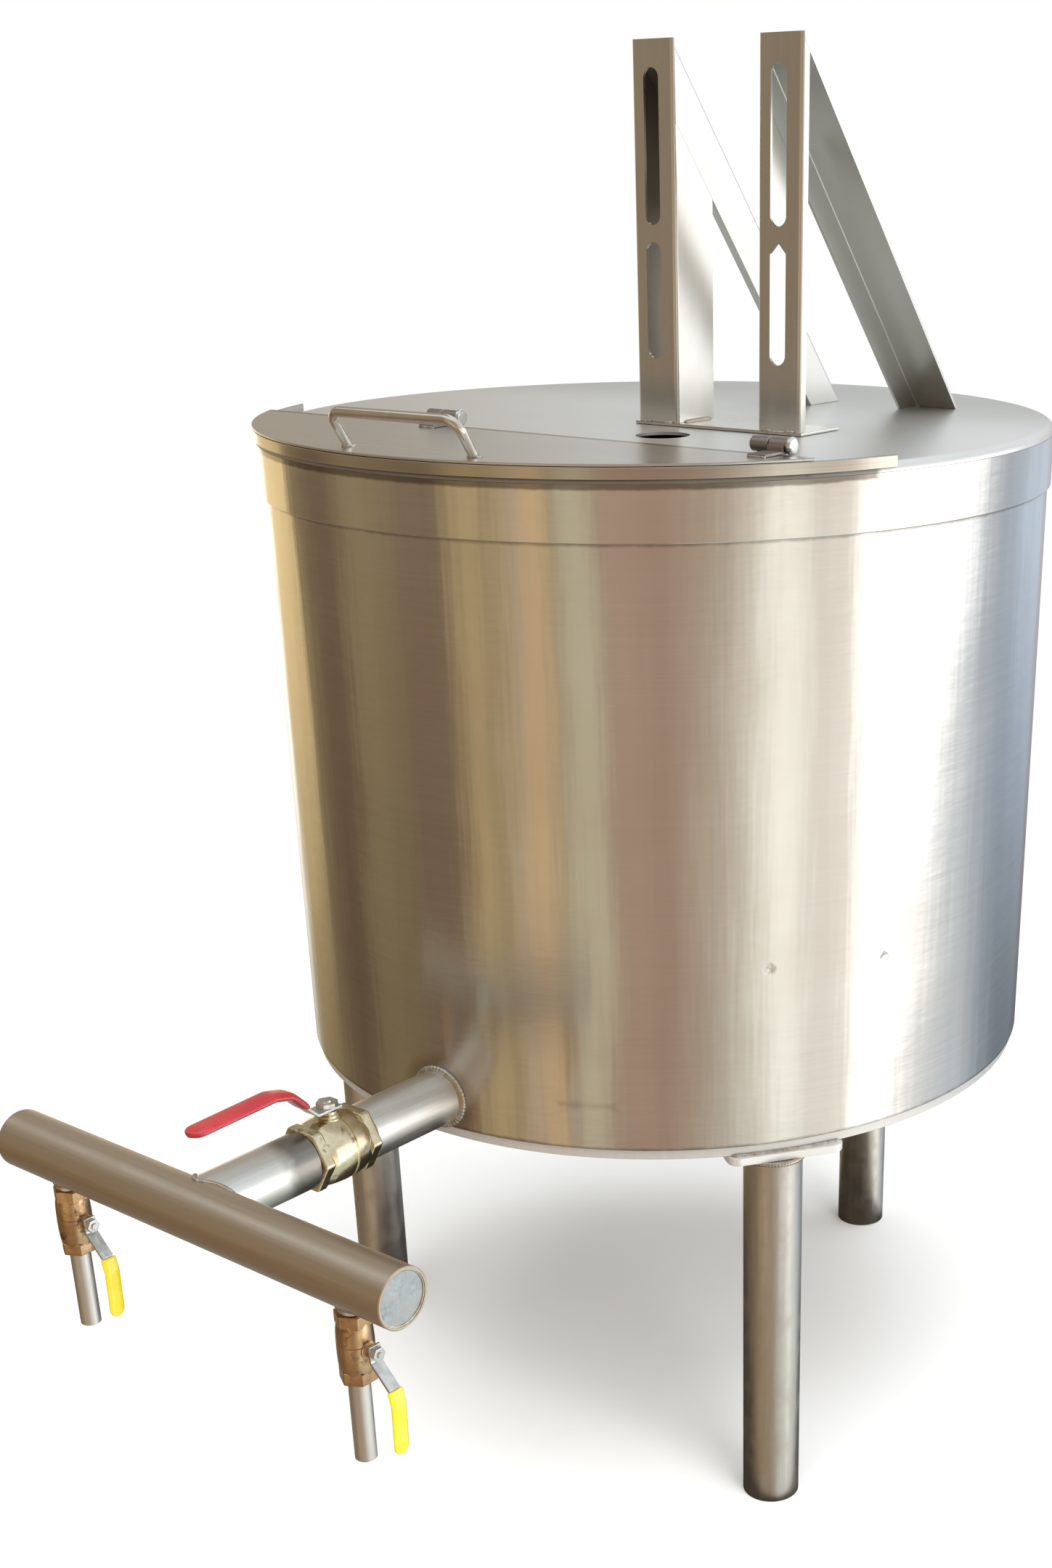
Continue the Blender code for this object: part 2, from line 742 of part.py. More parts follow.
def hang_up(tank_middle):
    """Places every piece, and gives each moving one a parent on the line it turns about."""
    tank = bpy.data.objects.new("tank_middle", None)
    bpy.context.scene.collection.objects.link(tank)
    tank.location = tank_middle
    pivots = {
        "hatch_plate": (0, HINGE_Y, LID_TOP + HINGE_ABOVE_LID),
        "main_lever": (OUTLET_X, MAIN_VALVE_Y, OUTLET_Z),
    }
    for side, x in TAP_X.items():
        pivots[f"tap_{side}_lever"] = (x, CROSS_Y, TAP_VALVE_Z)
    starts = {
        "hatch_plate": ("hatch_plate", "hatch_handle", "hinge_hatch_knuckle"),
        **{name: (name,) for name in pivots if name.endswith("lever")},
    }
    made = [piece for piece in bpy.data.objects if piece.type != "EMPTY"]
    for name, place in pivots.items():
        pivot = bpy.data.objects.new(f"{name}_pivot", None)
        bpy.context.scene.collection.objects.link(pivot)
        pivot.parent = tank
        pivot.location = place
        for piece in made:
            if piece.name.startswith(starts[name]):
                piece.parent = pivot
                piece.location = -Vector(place)
    for piece in made:
        if piece.parent is None:
            piece.parent = tank


def main():
    clear_scene()
    steel = finish("stainless_steel", (0.62, 0.60, 0.57), 0.22)
    brass = finish("valve_brass", (0.74, 0.58, 0.33), 0.3)
    red = finish("red_vinyl", (0.62, 0.05, 0.07), 0.4, 0.0)
    yellow = finish("yellow_vinyl", (0.86, 0.62, 0.08), 0.4, 0.0)
    make_shell(steel)
    make_floor(steel)
    make_lid(steel)
    make_hatch_lip(steel)
    make_hatch(steel)
    make_handle(steel)
    for side, start in HINGE_STARTS.items():
        make_hinge(side, start, steel)
    make_motor_brackets(steel)
    make_legs(steel)
    saddle = make_outlet_line(steel)
    frame = valve_frame((OUTLET_X, MAIN_VALVE_Y, OUTLET_Z), (0, 0, 1), (0, -1, 0))
    make_valve_body("main_valve_body", MAIN_VALVE, frame, brass)
    make_lever("main", MAIN_VALVE, frame, steel, red)
    for side, x in TAP_X.items():
        make_tap(side, x, saddle, steel, brass, yellow)
    hang_up((0, TANK_MIDDLE_Y, 0))


main()
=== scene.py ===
"""The looks of a round stainless steel mixing tank on three tube legs.

Everything is in metres with +Z up. The pieces are modelled about the tank's own
upright axis, and moved to where the frame holds the tank when they are finished.
"""

from math import acos, atan2, ceil, cos, degrees, hypot, pi, radians, sin, sqrt

import bmesh
import bpy
from mathutils import Matrix, Vector


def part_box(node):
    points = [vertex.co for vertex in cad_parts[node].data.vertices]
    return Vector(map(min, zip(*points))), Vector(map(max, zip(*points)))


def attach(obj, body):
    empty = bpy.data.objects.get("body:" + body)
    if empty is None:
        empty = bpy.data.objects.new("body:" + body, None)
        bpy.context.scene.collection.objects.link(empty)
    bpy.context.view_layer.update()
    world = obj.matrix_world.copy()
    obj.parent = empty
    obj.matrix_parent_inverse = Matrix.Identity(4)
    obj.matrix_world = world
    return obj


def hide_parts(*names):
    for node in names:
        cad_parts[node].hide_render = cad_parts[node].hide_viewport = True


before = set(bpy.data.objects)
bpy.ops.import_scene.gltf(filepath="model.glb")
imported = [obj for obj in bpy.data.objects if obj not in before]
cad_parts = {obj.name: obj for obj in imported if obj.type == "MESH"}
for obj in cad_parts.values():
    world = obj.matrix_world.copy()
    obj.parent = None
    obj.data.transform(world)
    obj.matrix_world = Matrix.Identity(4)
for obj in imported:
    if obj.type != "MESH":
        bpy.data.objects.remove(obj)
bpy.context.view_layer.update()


def centre(node):
    low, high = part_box(node)
    return (low + high) / 2


TANK_MIDDLE = Vector((0, centre("shell_wall").y, 0))


def cad(node):
    """A node's lowest and highest corners, measured from the tank's own axis."""
    low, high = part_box(node)
    return low - TANK_MIDDLE, high - TANK_MIDDLE


# Sizes read from the frame
WALL_LOW, WALL_HIGH = cad("shell_wall")
BAND_LOW, BAND_HIGH = cad("top_band")
LIP_LOW, LIP_HIGH = cad("hatch_lip")
HATCH_LOW, HATCH_HIGH = cad("hatch_plate")
FLOOR_LOW, FLOOR_HIGH = cad("floor_plate")
PIPE_LOW, PIPE_HIGH = cad("cross_pipe")
OUTLET_LOW, OUTLET_HIGH = cad("outlet_stub")
STRIP_LOW, STRIP_HIGH = cad("bracket_base_strip")
TANK_RADIUS = WALL_HIGH.x
BAND_RADIUS = BAND_HIGH.x
LID_TOP = cad("lid_plate")[1].z

# Sheet, folds and the hair's breadth between welded pieces
SHEET = 0.003
LID_EDGE_RADIUS = 0.0085
FOLD_RADIUS = 0.0045
HAIR = 0.0003
PLATE_EDGE = 0.0008
CUT_PAST = 0.03

# Hatch opening, shaft hole and lip
OPENING_RADIUS = 0.401
OPENING_BACK_Y = -0.228
SHAFT_HOLE = (0.094, -0.104)
SHAFT_HOLE_RADIUS = 0.028
LIP_HALF_ANGLE = 70.5
LIP_THICKNESS = 0.0025

# Pipes
PIPE_RADIUS = (PIPE_HIGH.z - PIPE_LOW.z) / 2
PIPE_WALL = 0.003
OUTLET_X = (OUTLET_LOW.x + OUTLET_HIGH.x) / 2
OUTLET_Z = (OUTLET_LOW.z + OUTLET_HIGH.z) / 2
CROSS_Y = (PIPE_LOW.y + PIPE_HIGH.y) / 2

# Steps round a lathed piece, by its size
FINE = 256
LARGE = 96
MEDIUM = 64
SMALL = 32

# Distances that count as none, and the angles that stay smooth or are bevelled
TINY = 1e-6
SMOOTH_BELOW = 38
BEVEL_ABOVE = 40


def add_object(name, data):
    made = bpy.data.objects.new(name, data)
    bpy.context.scene.collection.objects.link(made)
    return made


# Camera

CAMERA_PLACE = (1.4900, -1.8265, 1.3822)
CAMERA_TURN = 38.45
CAMERA_DOWN = 25.93
CAMERA_ROLL = -0.69
PHOTO_WIDTH = 1449
PHOTO_HEIGHT = 2159
FOCAL_PIXELS = 2843.3
OPTICAL_CENTRE = (954.8, 1595.1)
SENSOR = 36.0
FARTHEST_SEEN = 200


def make_camera():
    lens = bpy.data.cameras.new("camera")
    lens.sensor_width = SENSOR
    lens.lens = FOCAL_PIXELS / PHOTO_HEIGHT * SENSOR
    lens.shift_x = (PHOTO_WIDTH / 2 - OPTICAL_CENTRE[0]) / PHOTO_HEIGHT
    lens.shift_y = (OPTICAL_CENTRE[1] - PHOTO_HEIGHT / 2) / PHOTO_HEIGHT
    lens.clip_end = FARTHEST_SEEN
    camera = add_object("camera", lens)
    camera.location = Vector(CAMERA_PLACE) + TANK_MIDDLE
    turn = Matrix.Rotation(radians(CAMERA_TURN), 3, "Z")
    down = Matrix.Rotation(radians(90 - CAMERA_DOWN), 3, "X")
    roll = Matrix.Rotation(radians(CAMERA_ROLL), 3, "Z")
    camera.rotation_euler = (turn @ down @ roll).to_euler()
    bpy.context.scene.camera = camera


# Shader building

FLOAT = "NodeSocketFloat"
VECTOR = "NodeSocketVector"
ORIGIN = (0, 0, 0)


def add_node(tree, kind, **settings):
    made = tree.nodes.new(kind)
    for name, value in settings.items():
        setattr(made, name, value)
    return made


def connect(tree, value, socket):
    """Links an output to a socket, or sets a plain value or a colour there."""
    if hasattr(value, "is_output"):
        tree.links.new(value, socket)
    elif value is not None:
        socket.default_value = (*value, 1.0) if socket.type == "RGBA" else value


def feed(tree, node, **values):
    """Connects inputs that are given by name, with underscores for spaces."""
    for name, value in values.items():
        connect(tree, value, node.inputs[name.replace("_", " ")])


def math_node(tree, operation, first, second=None):
    made = add_node(tree, "ShaderNodeMath", operation=operation)
    connect(tree, first, made.inputs[0])
    connect(tree, second, made.inputs[1])
    return made.outputs[0]


def times(tree, first, second):
    return math_node(tree, "MULTIPLY", first, second)


def plus(tree, first, second):
    return math_node(tree, "ADD", first, second)


def minus(tree, first, second):
    return math_node(tree, "SUBTRACT", first, second)


def vector_math(tree, operation, first, second=None):
    made = add_node(tree, "ShaderNodeVectorMath", operation=operation)
    connect(tree, first, made.inputs[0])
    connect(tree, second, made.inputs["Scale" if operation == "SCALE" else 1])
    return made.outputs["Value" if operation in ("LENGTH", "DISTANCE") else "Vector"]


def split(tree, vector):
    made = add_node(tree, "ShaderNodeSeparateXYZ")
    connect(tree, vector, made.inputs[0])
    return made.outputs


def combine(tree, **parts):
    made = add_node(tree, "ShaderNodeCombineXYZ")
    feed(tree, made, **parts)
    return made.outputs[0]


def remap(tree, value, low, high, to_low=0.0, to_high=1.0, smooth=False):
    made = add_node(tree, "ShaderNodeMapRange", clamp=True)
    made.interpolation_type = "SMOOTHSTEP" if smooth else "LINEAR"
    feed(tree, made, Value=value, From_Min=low, From_Max=high, To_Min=to_low, To_Max=to_high)
    return made.outputs["Result"]


def mix_colour(tree, amount, first, second):
    made = add_node(tree, "ShaderNodeMix", data_type="RGBA")
    for number, value in ((0, amount), (6, first), (7, second)):
        connect(tree, value, made.inputs[number])
    return made.outputs[2]


def noise(tree, vector, scale, detail=3.0, roughness=0.5):
    made = add_node(tree, "ShaderNodeTexNoise", noise_dimensions="3D")
    feed(tree, made, Vector=vector, Scale=scale, Detail=detail, Roughness=roughness)
    return made.outputs["Fac"]


def stretched(tree, vector, stretch, shift=ORIGIN):
    made = add_node(tree, "ShaderNodeMapping", vector_type="POINT")
    feed(tree, made, Vector=vector, Scale=stretch, Location=shift)
    return made.outputs["Vector"]


def new_group(name, inputs, outputs):
    """A node group. Its inputs come with their first values, and its outputs with their kinds."""
    tree = bpy.data.node_groups.new(name, "ShaderNodeTree")
    for label, value in inputs.items():
        kind = FLOAT if isinstance(value, float) else VECTOR
        socket = tree.interface.new_socket(label, in_out="INPUT", socket_type=kind)
        socket.default_value = value
    for label, kind in outputs.items():
        tree.interface.new_socket(label, in_out="OUTPUT", socket_type=kind)
    return tree, add_node(tree, "NodeGroupInput").outputs, add_node(tree, "NodeGroupOutput")


def place_group(tree, group, **inputs):
    made = add_node(tree, "ShaderNodeGroup", node_tree=group)
    feed(tree, made, **inputs)
    return made.outputs


# Effects that several materials share


def around_the_tank_group():
    """Turns a place into metres round the tank's wall, height, and distance from its axis."""
    tree, given, result = new_group(
        "around_the_tank", {"Place": ORIGIN}, {"Unrolled": VECTOR, "Radius": FLOAT}
    )
    x, y, z = split(tree, stretched(tree, given["Place"], (1, 1, 1), tuple(-TANK_MIDDLE)))
    length = times(tree, math_node(tree, "ARCTAN2", y, x), TANK_RADIUS)
    radius = math_node(tree, "SQRT", plus(tree, times(tree, x, x), times(tree, y, y)))
    feed(tree, result, Unrolled=combine(tree, X=length, Y=radius, Z=z), Radius=radius)
    return tree


def brush_lines_group():
    """Fine lines left by an abrasive belt. Stretch is small along the lines and large across."""
    tree, given, result = new_group(
        "brush_lines", {"Place": ORIGIN, "Stretch": (1, 1, 1)}, {"Height": FLOAT, "Tone": FLOAT}
    )
    scaled = vector_math(tree, "MULTIPLY", given["Place"], given["Stretch"])
    fine = noise(tree, scaled, 1.0, 4.0, 0.65)
    broad = noise(tree, scaled, 0.17, 2.0, 0.5)
    both = plus(tree, times(tree, fine, 0.65), times(tree, broad, 0.35))
    feed(tree, result, Height=both, Tone=remap(tree, both, 0.34, 0.66))
    return tree


def handling_marks_group():
    """Cloudy smears and wiped patches. They are smaller where Fineness is larger."""
    tree, given, result = new_group(
        "handling_marks", {"Place": ORIGIN, "Fineness": 1.0}, {"Smear": FLOAT}
    )
    cloud = noise(tree, vector_math(tree, "SCALE", given["Place"], given["Fineness"]), 7.0, 4.0, 0.6)
    feed(tree, result, Smear=remap(tree, cloud, 0.38, 0.68, smooth=True))
    return tree


def sheet_waves_group():
    """The slow dents and ripples of rolled sheet, which bend what it mirrors."""
    tree, given, result = new_group("sheet_waves", {"Unrolled": ORIGIN}, {"Height": FLOAT})
    upright = noise(tree, stretched(tree, given["Unrolled"], (30, 1, 2.2)), 1.0, 3.0, 0.5)
    level = noise(tree, stretched(tree, given["Unrolled"], (12, 1, 42)), 1.0, 3.0, 0.6)
    broad = noise(tree, stretched(tree, given["Unrolled"], (8, 1, 6)), 1.0, 1.0)
    both = plus(tree, times(tree, upright, 0.3), broad)
    feed(tree, result, Height=plus(tree, times(tree, level, 0.14), both))
    return tree


BOX_EDGE_WOBBLE = 0.02
SPOT_WOBBLE = 0.012


def box_stain_and_shade_group():
    """A ragged mark along a seam, for dirt and for painted shade: 1 inside a box in object space,
    with soft edges.
    """
    tree, given, result = new_group(
        "stain_and_shade_box",
        {"Place": ORIGIN, "Middle": ORIGIN, "Half": (1, 1, 1), "Soft": 0.002},
        {"Stain": FLOAT},
    )
    apart = vector_math(tree, "SUBTRACT", given["Place"], given["Middle"])
    beyond = vector_math(tree, "SUBTRACT", vector_math(tree, "ABSOLUTE", apart), given["Half"])
    x, y, z = split(tree, beyond)
    farthest = math_node(tree, "MAXIMUM", math_node(tree, "MAXIMUM", x, y), z)
    ragged = minus(tree, noise(tree, given["Place"], 45.0, 4.0, 0.6), 0.5)
    wobble = times(tree, ragged, math_node(tree, "MINIMUM", given["Soft"], BOX_EDGE_WOBBLE))
    share = math_node(tree, "DIVIDE", plus(tree, farthest, wobble), given["Soft"])
    feed(tree, result, Stain=remap(tree, share, -0.5, 0.5, 1.0, 0.0, smooth=True))
    return tree


def round_spot_group():
    """A ragged round spot: 1 within Near of its middle, and 0 past Far."""
    tree, given, result = new_group(
        "round_spot",
        {"Place": ORIGIN, "Middle": ORIGIN, "Near": 0.03, "Far": 0.06},
        {"Spot": FLOAT},
    )
    apart = vector_math(tree, "DISTANCE", given["Place"], given["Middle"])
    ragged = minus(tree, noise(tree, given["Place"], 60.0, 3.0), 0.5)
    shifted = plus(tree, apart, times(tree, ragged, SPOT_WOBBLE))
    feed(tree, result, Spot=remap(tree, shifted, given["Near"], given["Far"], 1.0, 0.0, smooth=True))
    return tree


AROUND_TANK = around_the_tank_group()
BRUSH_LINES = brush_lines_group()
HANDLING_MARKS = handling_marks_group()
SHEET_WAVES = sheet_waves_group()
BOX_STAIN_AND_SHADE = box_stain_and_shade_group()
ROUND_SPOT = round_spot_group()

# Unbrushed steel, painted shade in the closed channel and in seams, and what handling, dirt and heat
# leave
SHADED_INSIDE = "inside"
CHANNEL_SHADE = (0.31, 0.275, 0.235)
MILL_FINISH = (0.56, 0.55, 0.53)
MILL_METALLIC = 0.5
MILL_ROUGHER = 0.3
SMEAR_TINT = (0.93, 0.89, 0.84)
# A dark brown for dirt, also used for painted shade in seams.
GRIME_AND_SHADE = (0.10, 0.075, 0.05)
STRAW = (0.52, 0.40, 0.24)
BURNT = (0.36, 0.34, 0.36)
HEAT_STRENGTH = 0.75
DENT_DEPTH = 0.09


# Materials


def start_material(name, roughness, metallic=1.0):
    made = bpy.data.materials.new(name)
    made.use_nodes = True
    tree = made.node_tree
    shader = tree.nodes["Principled BSDF"]
    feed(tree, shader, Roughness=roughness, Metallic=metallic)
    place = add_node(tree, "ShaderNodeTexCoord").outputs["Object"]
    return made, tree, shader, place


def add_bump(tree, shader, height, depth):
    """Raises a height on the surface, over the bump that the shader has already."""
    bump = add_node(tree, "ShaderNodeBump")
    feed(tree, bump, Height=height, Strength=1.0, Distance=depth)
    for link in shader.inputs["Normal"].links:
        feed(tree, bump, Normal=link.from_socket)
    feed(tree, shader, Normal=bump.outputs["Normal"])


def smears(tree, place, fineness):
    return place_group(tree, HANDLING_MARKS, Place=place, Fineness=fineness)["Smear"]


def spot(tree, place, middle, near, far):
    """A round spot about a place that is measured from the tank's axis."""
    middle = tuple(Vector(middle) + TANK_MIDDLE)
    return place_group(tree, ROUND_SPOT, Place=place, Middle=middle, Near=near, Far=far)["Spot"]


def heated(tree, place, tone, heats):
    """Straw and blue round each weld, which is given as (middle, near, far)."""
    for middle, near, far in heats:
        heat = spot(tree, place, middle, near, far)
        straw = mix_colour(tree, remap(tree, heat, 0.1, 0.55), tone, STRAW)
        blue = mix_colour(tree, remap(tree, heat, 0.6, 1.0), straw, BURNT)
        tone = mix_colour(tree, times(tree, heat, HEAT_STRENGTH), tone, blue)
    return tone


def stained_and_shaded(tree, place, tone, stains_and_shade):
    """Dirt and painted shade in seams, each given as (low corner, high corner, softness, strength).
    """
    for low, high, soft, strength in stains_and_shade:
        middle = (Vector(low) + Vector(high)) / 2
        stain = place_group(
            tree, BOX_STAIN_AND_SHADE, Place=place, Middle=tuple(middle + TANK_MIDDLE),
            Half=tuple(Vector(high) - middle), Soft=soft,
        )["Stain"]
        tone = mix_colour(tree, times(tree, stain, strength), tone, GRIME_AND_SHADE)
    return tone


def tinted(colour, amount):
    return tuple(min(part * amount, 1.0) for part in colour)


def steel(name, colour, roughness, stretch, marks=1.0, shade=0.1, grime=0.4, metallic=1.0,
          depth=0.00004, turned=0.0, waves=0.0, around=False, hollow=False, heats=(), stains_and_shade=(),
          dents=()):
    """Brushed stainless steel.

    Stretch and depth set the grain, and shade how much its tone varies. Marks sets how fine the
    smears are, and grime how strong. Around makes the grain run round the wall, turned stretches
    highlights across it, waves ripples the sheet, and hollow leaves the wall's inner side dull.
    Heats are welds, the seam boxes hold dirt and painted shade, and dents are small knocks, as
    (place, width).
    """
    made, tree, shader, place = start_material(name, roughness, metallic)
    grain_place = place
    if around:
        unrolled = place_group(tree, AROUND_TANK, Place=place)
        grain_place = unrolled["Unrolled"]
    grain = place_group(tree, BRUSH_LINES, Place=grain_place, Stretch=stretch)
    smear = smears(tree, place, marks)
    tone = mix_colour(tree, grain["Tone"], tinted(colour, 1 - shade), tinted(colour, 1 + shade))
    warm = tuple(part * tint for part, tint in zip(colour, SMEAR_TINT))
    tone = mix_colour(tree, times(tree, smear, grime), tone, warm)
    tone = stained_and_shaded(tree, place, heated(tree, place, tone, heats), stains_and_shade)
    # Painted shade: faces marked as inside a closed channel get a dark tone, as if in shadow, and
    # rougher steel.
    inside = add_node(tree, "ShaderNodeAttribute", attribute_name=SHADED_INSIDE).outputs["Fac"]
    tone = mix_colour(tree, inside, tone, CHANNEL_SHADE)
    rough = remap(tree, grain["Tone"], 0.0, 1.0, roughness * 0.9, roughness * 1.1)
    rough = plus(tree, rough, times(tree, smear, roughness * grime * 0.5))
    rough = plus(tree, rough, times(tree, inside, MILL_ROUGHER))
    if hollow:
        edge = TANK_RADIUS - SHEET / 2
        within = remap(tree, unrolled["Radius"], edge - HAIR, edge + HAIR, 1.0, 0.0)
        tone = mix_colour(tree, within, tone, MILL_FINISH)
        feed(tree, shader, Metallic=remap(tree, within, 0.0, 1.0, 1.0, MILL_METALLIC))
        rough = plus(tree, rough, times(tree, within, MILL_ROUGHER))
    feed(tree, shader, Base_Color=tone, Roughness=rough)
    if turned:
        feed(tree, shader, Anisotropic=turned, Anisotropic_Rotation=0.25)
    add_bump(tree, shader, grain["Height"], depth)
    if waves:
        add_bump(tree, shader, place_group(tree, SHEET_WAVES, Unrolled=grain_place)["Height"], waves)
    for middle, size in dents:
        pit = spot(tree, place, middle, 0.0, size)
        add_bump(tree, shader, minus(tree, 1.0, pit), size * DENT_DEPTH)
    return made


def weld_metal():
    """Rippled beads, grey with straw patches."""
    made, tree, shader, place = start_material("weld_metal", 0.34)
    cloud = noise(tree, place, 160.0, 3.0, 0.6)
    tint = mix_colour(tree, remap(tree, cloud, 0.35, 0.65), (0.44, 0.40, 0.35), (0.74, 0.73, 0.71))
    straw = remap(tree, noise(tree, place, 23.0, 2.0), 0.5, 0.68)
    tint = mix_colour(tree, straw, tint, (0.56, 0.45, 0.30))
    feed(tree, shader, Base_Color=tint, Roughness=remap(tree, cloud, 0.3, 0.7, 0.25, 0.5))
    add_bump(tree, shader, cloud, 0.0002)
    return made


def brass(name, bright, dull, dark, roughness):
    """Cast and machined brass that has gone brown in patches."""
    made, tree, shader, place = start_material(name, roughness)
    cast = noise(tree, place, 420.0, 3.0, 0.6)
    patch = noise(tree, place, 38.0, 4.0, 0.62)
    tone = mix_colour(tree, remap(tree, patch, 0.36, 0.62), bright, dull)
    stain = noise(tree, stretched(tree, place, (1, 1, 1), (0.31, 0.12, 0.07)), 75.0, 4.0, 0.7)
    tone = mix_colour(tree, remap(tree, stain, 0.56, 0.7), tone, dark)
    rough = remap(tree, patch, 0.35, 0.65, roughness * 0.8, roughness * 1.25)
    rough = plus(tree, rough, remap(tree, stain, 0.56, 0.7, 0.0, 0.22))
    feed(tree, shader, Base_Color=tone, Roughness=rough)
    add_bump(tree, shader, cast, 0.00012)
    return made


def dipped_vinyl(name, colour, faded):
    """Thick vinyl that the lever was dipped in, scuffed dull where hands rub it."""
    made, tree, shader, place = start_material(name, 0.32, 0.0)
    feed(tree, shader, Coat_Weight=1.0, Coat_Roughness=0.05)
    smear = smears(tree, place, 6.0)
    tone = mix_colour(tree, times(tree, smear, 0.6), colour, faded)
    feed(tree, shader, Base_Color=tone, Roughness=remap(tree, smear, 0.0, 1.0, 0.16, 0.3))
    add_bump(tree, shader, noise(tree, place, 700.0, 2.0), 0.00002)
    return made


def bright_plate(name, colour, roughness):
    """Zinc plated steel, with soft wear and tiny pits."""
    made, tree, shader, place = start_material(name, roughness)
    smear = smears(tree, place, 9.0)
    tone = mix_colour(tree, times(tree, smear, 0.7), colour, tinted(colour, 0.72))
    rough = remap(tree, smear, 0.0, 1.0, roughness, roughness * 2.0)
    feed(tree, shader, Base_Color=tone, Roughness=rough)
    add_bump(tree, shader, noise(tree, place, 500.0, 2.0), 0.00005)
    return made


def seam(x, y, z, soft, strength):
    """A darkened box between two places along each axis, for dirt and for painted shade."""
    return (x[0], y[0], z[0]), (x[1], y[1], z[1]), soft, strength


# Darkened seams: painted shade under the lip and the band, at the hatch's back edge and over the
# lid's back; a darker wall foot, and the lid darker before the base strip; thread seal dirt, and one
# scuffed line on the wall. Reach is past the tank's side.
REACH = 0.5
ACROSS = (-REACH, REACH)
UPWARD = (0, REACH * 3)
HATCH_ACROSS = (-0.36, 0.36)
HATCH_BACK = HATCH_HIGH.y
LIP_END_X = 0.395
# Painted shade under the hatch seat's lip, on the band and on the lid's rolled rim.
SHADE_UNDER_LIP = seam(
    (-REACH, LIP_END_X), (-REACH, LIP_HIGH.y), (BAND_HIGH.z - 0.005, LID_TOP - 0.004), 0.003, 0.7
)
# Painted shadow: a dark line under the band's lower edge.
SHADE_UNDER_BAND = seam(ACROSS, ACROSS, (BAND_LOW.z - 0.002, BAND_LOW.z), 0.004, 0.55)
OVER_FLOOR = seam(ACROSS, ACROSS, (0, WALL_LOW.z + 0.002), 0.005, 0.7)
# Painted shadow: a dark line on the lid behind the hatch's back edge, and along that edge of the
# hatch.
SHADE_BEHIND_HATCH = seam(HATCH_ACROSS, (HATCH_BACK - 0.004, HATCH_BACK + 0.025), UPWARD, 0.007, 0.6)
SHADE_ON_HATCH_EDGE = seam(HATCH_ACROSS, (HATCH_BACK - 0.01, HATCH_BACK + 0.01), UPWARD, 0.004, 0.6)
BEFORE_STRIP = seam(
    (STRIP_LOW.x, STRIP_HIGH.x), (STRIP_LOW.y - 0.002, STRIP_HIGH.y), UPWARD, 0.003, 0.5
)
# Painted shade: the back of the lid is darker, for a dimmer reflection there.
SHADED_LID_BACK = seam(ACROSS, (0.2, REACH), UPWARD, 0.28, 0.4)
THREAD_SEAL = seam(
    (OUTLET_X - 0.04, OUTLET_X + 0.04), (CROSS_Y + 0.098, CROSS_Y + 0.145),
    (OUTLET_Z - 0.04, OUTLET_Z + 0.04), 0.024, 0.7,
)
SCUFF = seam((0.17, 0.222), (-0.40, -0.34), (0.4985, 0.5015), 0.011, 0.3)

# The outlet's weld, and small knocks in the wall
OUTLET_HEAT = ((OUTLET_X, -TANK_RADIUS, OUTLET_Z), 0.034, 0.062)
WALL_DENTS = (((0.3404, -0.2503, 0.6441), 0.009), ((0.4009, -0.1334, 0.6367), 0.007))

WALL_STEEL = steel(
    "wall_steel", (0.66, 0.64, 0.61), 0.18, (2.2, 4, 900), marks=0.55, shade=0.025, depth=0.00002,
    turned=0.6, waves=0.002, around=True, hollow=True, heats=[OUTLET_HEAT],
    stains_and_shade=[SHADE_UNDER_BAND, OVER_FLOOR, SCUFF], dents=WALL_DENTS,
)
BAND_STEEL = steel(
    "band_steel", (0.68, 0.66, 0.63), 0.17, (2.5, 4, 1100), marks=0.8, shade=0.025, depth=0.00002,
    turned=0.6, waves=0.0018, around=True, stains_and_shade=[SHADE_UNDER_LIP],
)
FLOOR_STEEL = steel(
    "floor_steel", (0.64, 0.63, 0.61), 0.42, (9, 300, 30), shade=0.04, grime=0.2, metallic=0.6,
)
LID_STEEL = steel(
    "lid_steel", (0.75, 0.75, 0.74), 0.36, (6, 520, 40), marks=0.6, shade=0.03, grime=0.15,
    metallic=0.9, depth=0.00001, stains_and_shade=[SHADE_BEHIND_HATCH, BEFORE_STRIP, SHADE_UNDER_LIP, SHADED_LID_BACK],
)
HATCH_STEEL = steel(
    "hatch_steel", (0.70, 0.69, 0.67), 0.28, (5, 620, 40), marks=0.7, shade=0.03, grime=0.2,
    depth=0.00001, stains_and_shade=[SHADE_ON_HATCH_EDGE],
)
# Painted shade and reflection: the lip's steel is darker and browner than the rest, for the shade
# and dark room along it.
LIP_STEEL = steel(
    "lip_steel", (0.54, 0.50, 0.45), 0.2, (3, 4, 900), marks=1.2, turned=0.4, waves=0.0006,
    around=True,
)
HANDLE_STEEL = steel("handle_steel", (0.74, 0.70, 0.65), 0.13, (90, 90, 90), marks=3.0)
HINGE_STEEL = steel("hinge_steel", (0.38, 0.335, 0.325), 0.42, (30, 700, 700), marks=4.0)
BRACKET_STEEL = steel(
    "bracket_steel", (0.68, 0.67, 0.64), 0.22, (520, 520, 7), marks=1.2, shade=0.04, grime=0.25,
    depth=0.00002,
)
BRACE_STEEL = steel(
    "brace_steel", (0.66, 0.66, 0.635), 0.3, (9, 60, 60), marks=0.8, shade=0.02, grime=0.2,
    depth=0.000004,
)
PAD_STEEL = steel(
    "pad_steel", (0.84, 0.84, 0.83), 0.42, (300, 300, 300), marks=3.0, shade=0.05, metallic=0.7,
)
LEG_STEEL = steel(
    "leg_steel", (0.62, 0.60, 0.57), 0.36, (160, 160, 9), marks=5.0, shade=0.13, grime=0.7,
)
PIPE_STEEL = steel(
    "pipe_steel", (0.86, 0.85, 0.83), 0.33, (400, 12, 400), marks=2.5, stains_and_shade=[THREAD_SEAL],
)
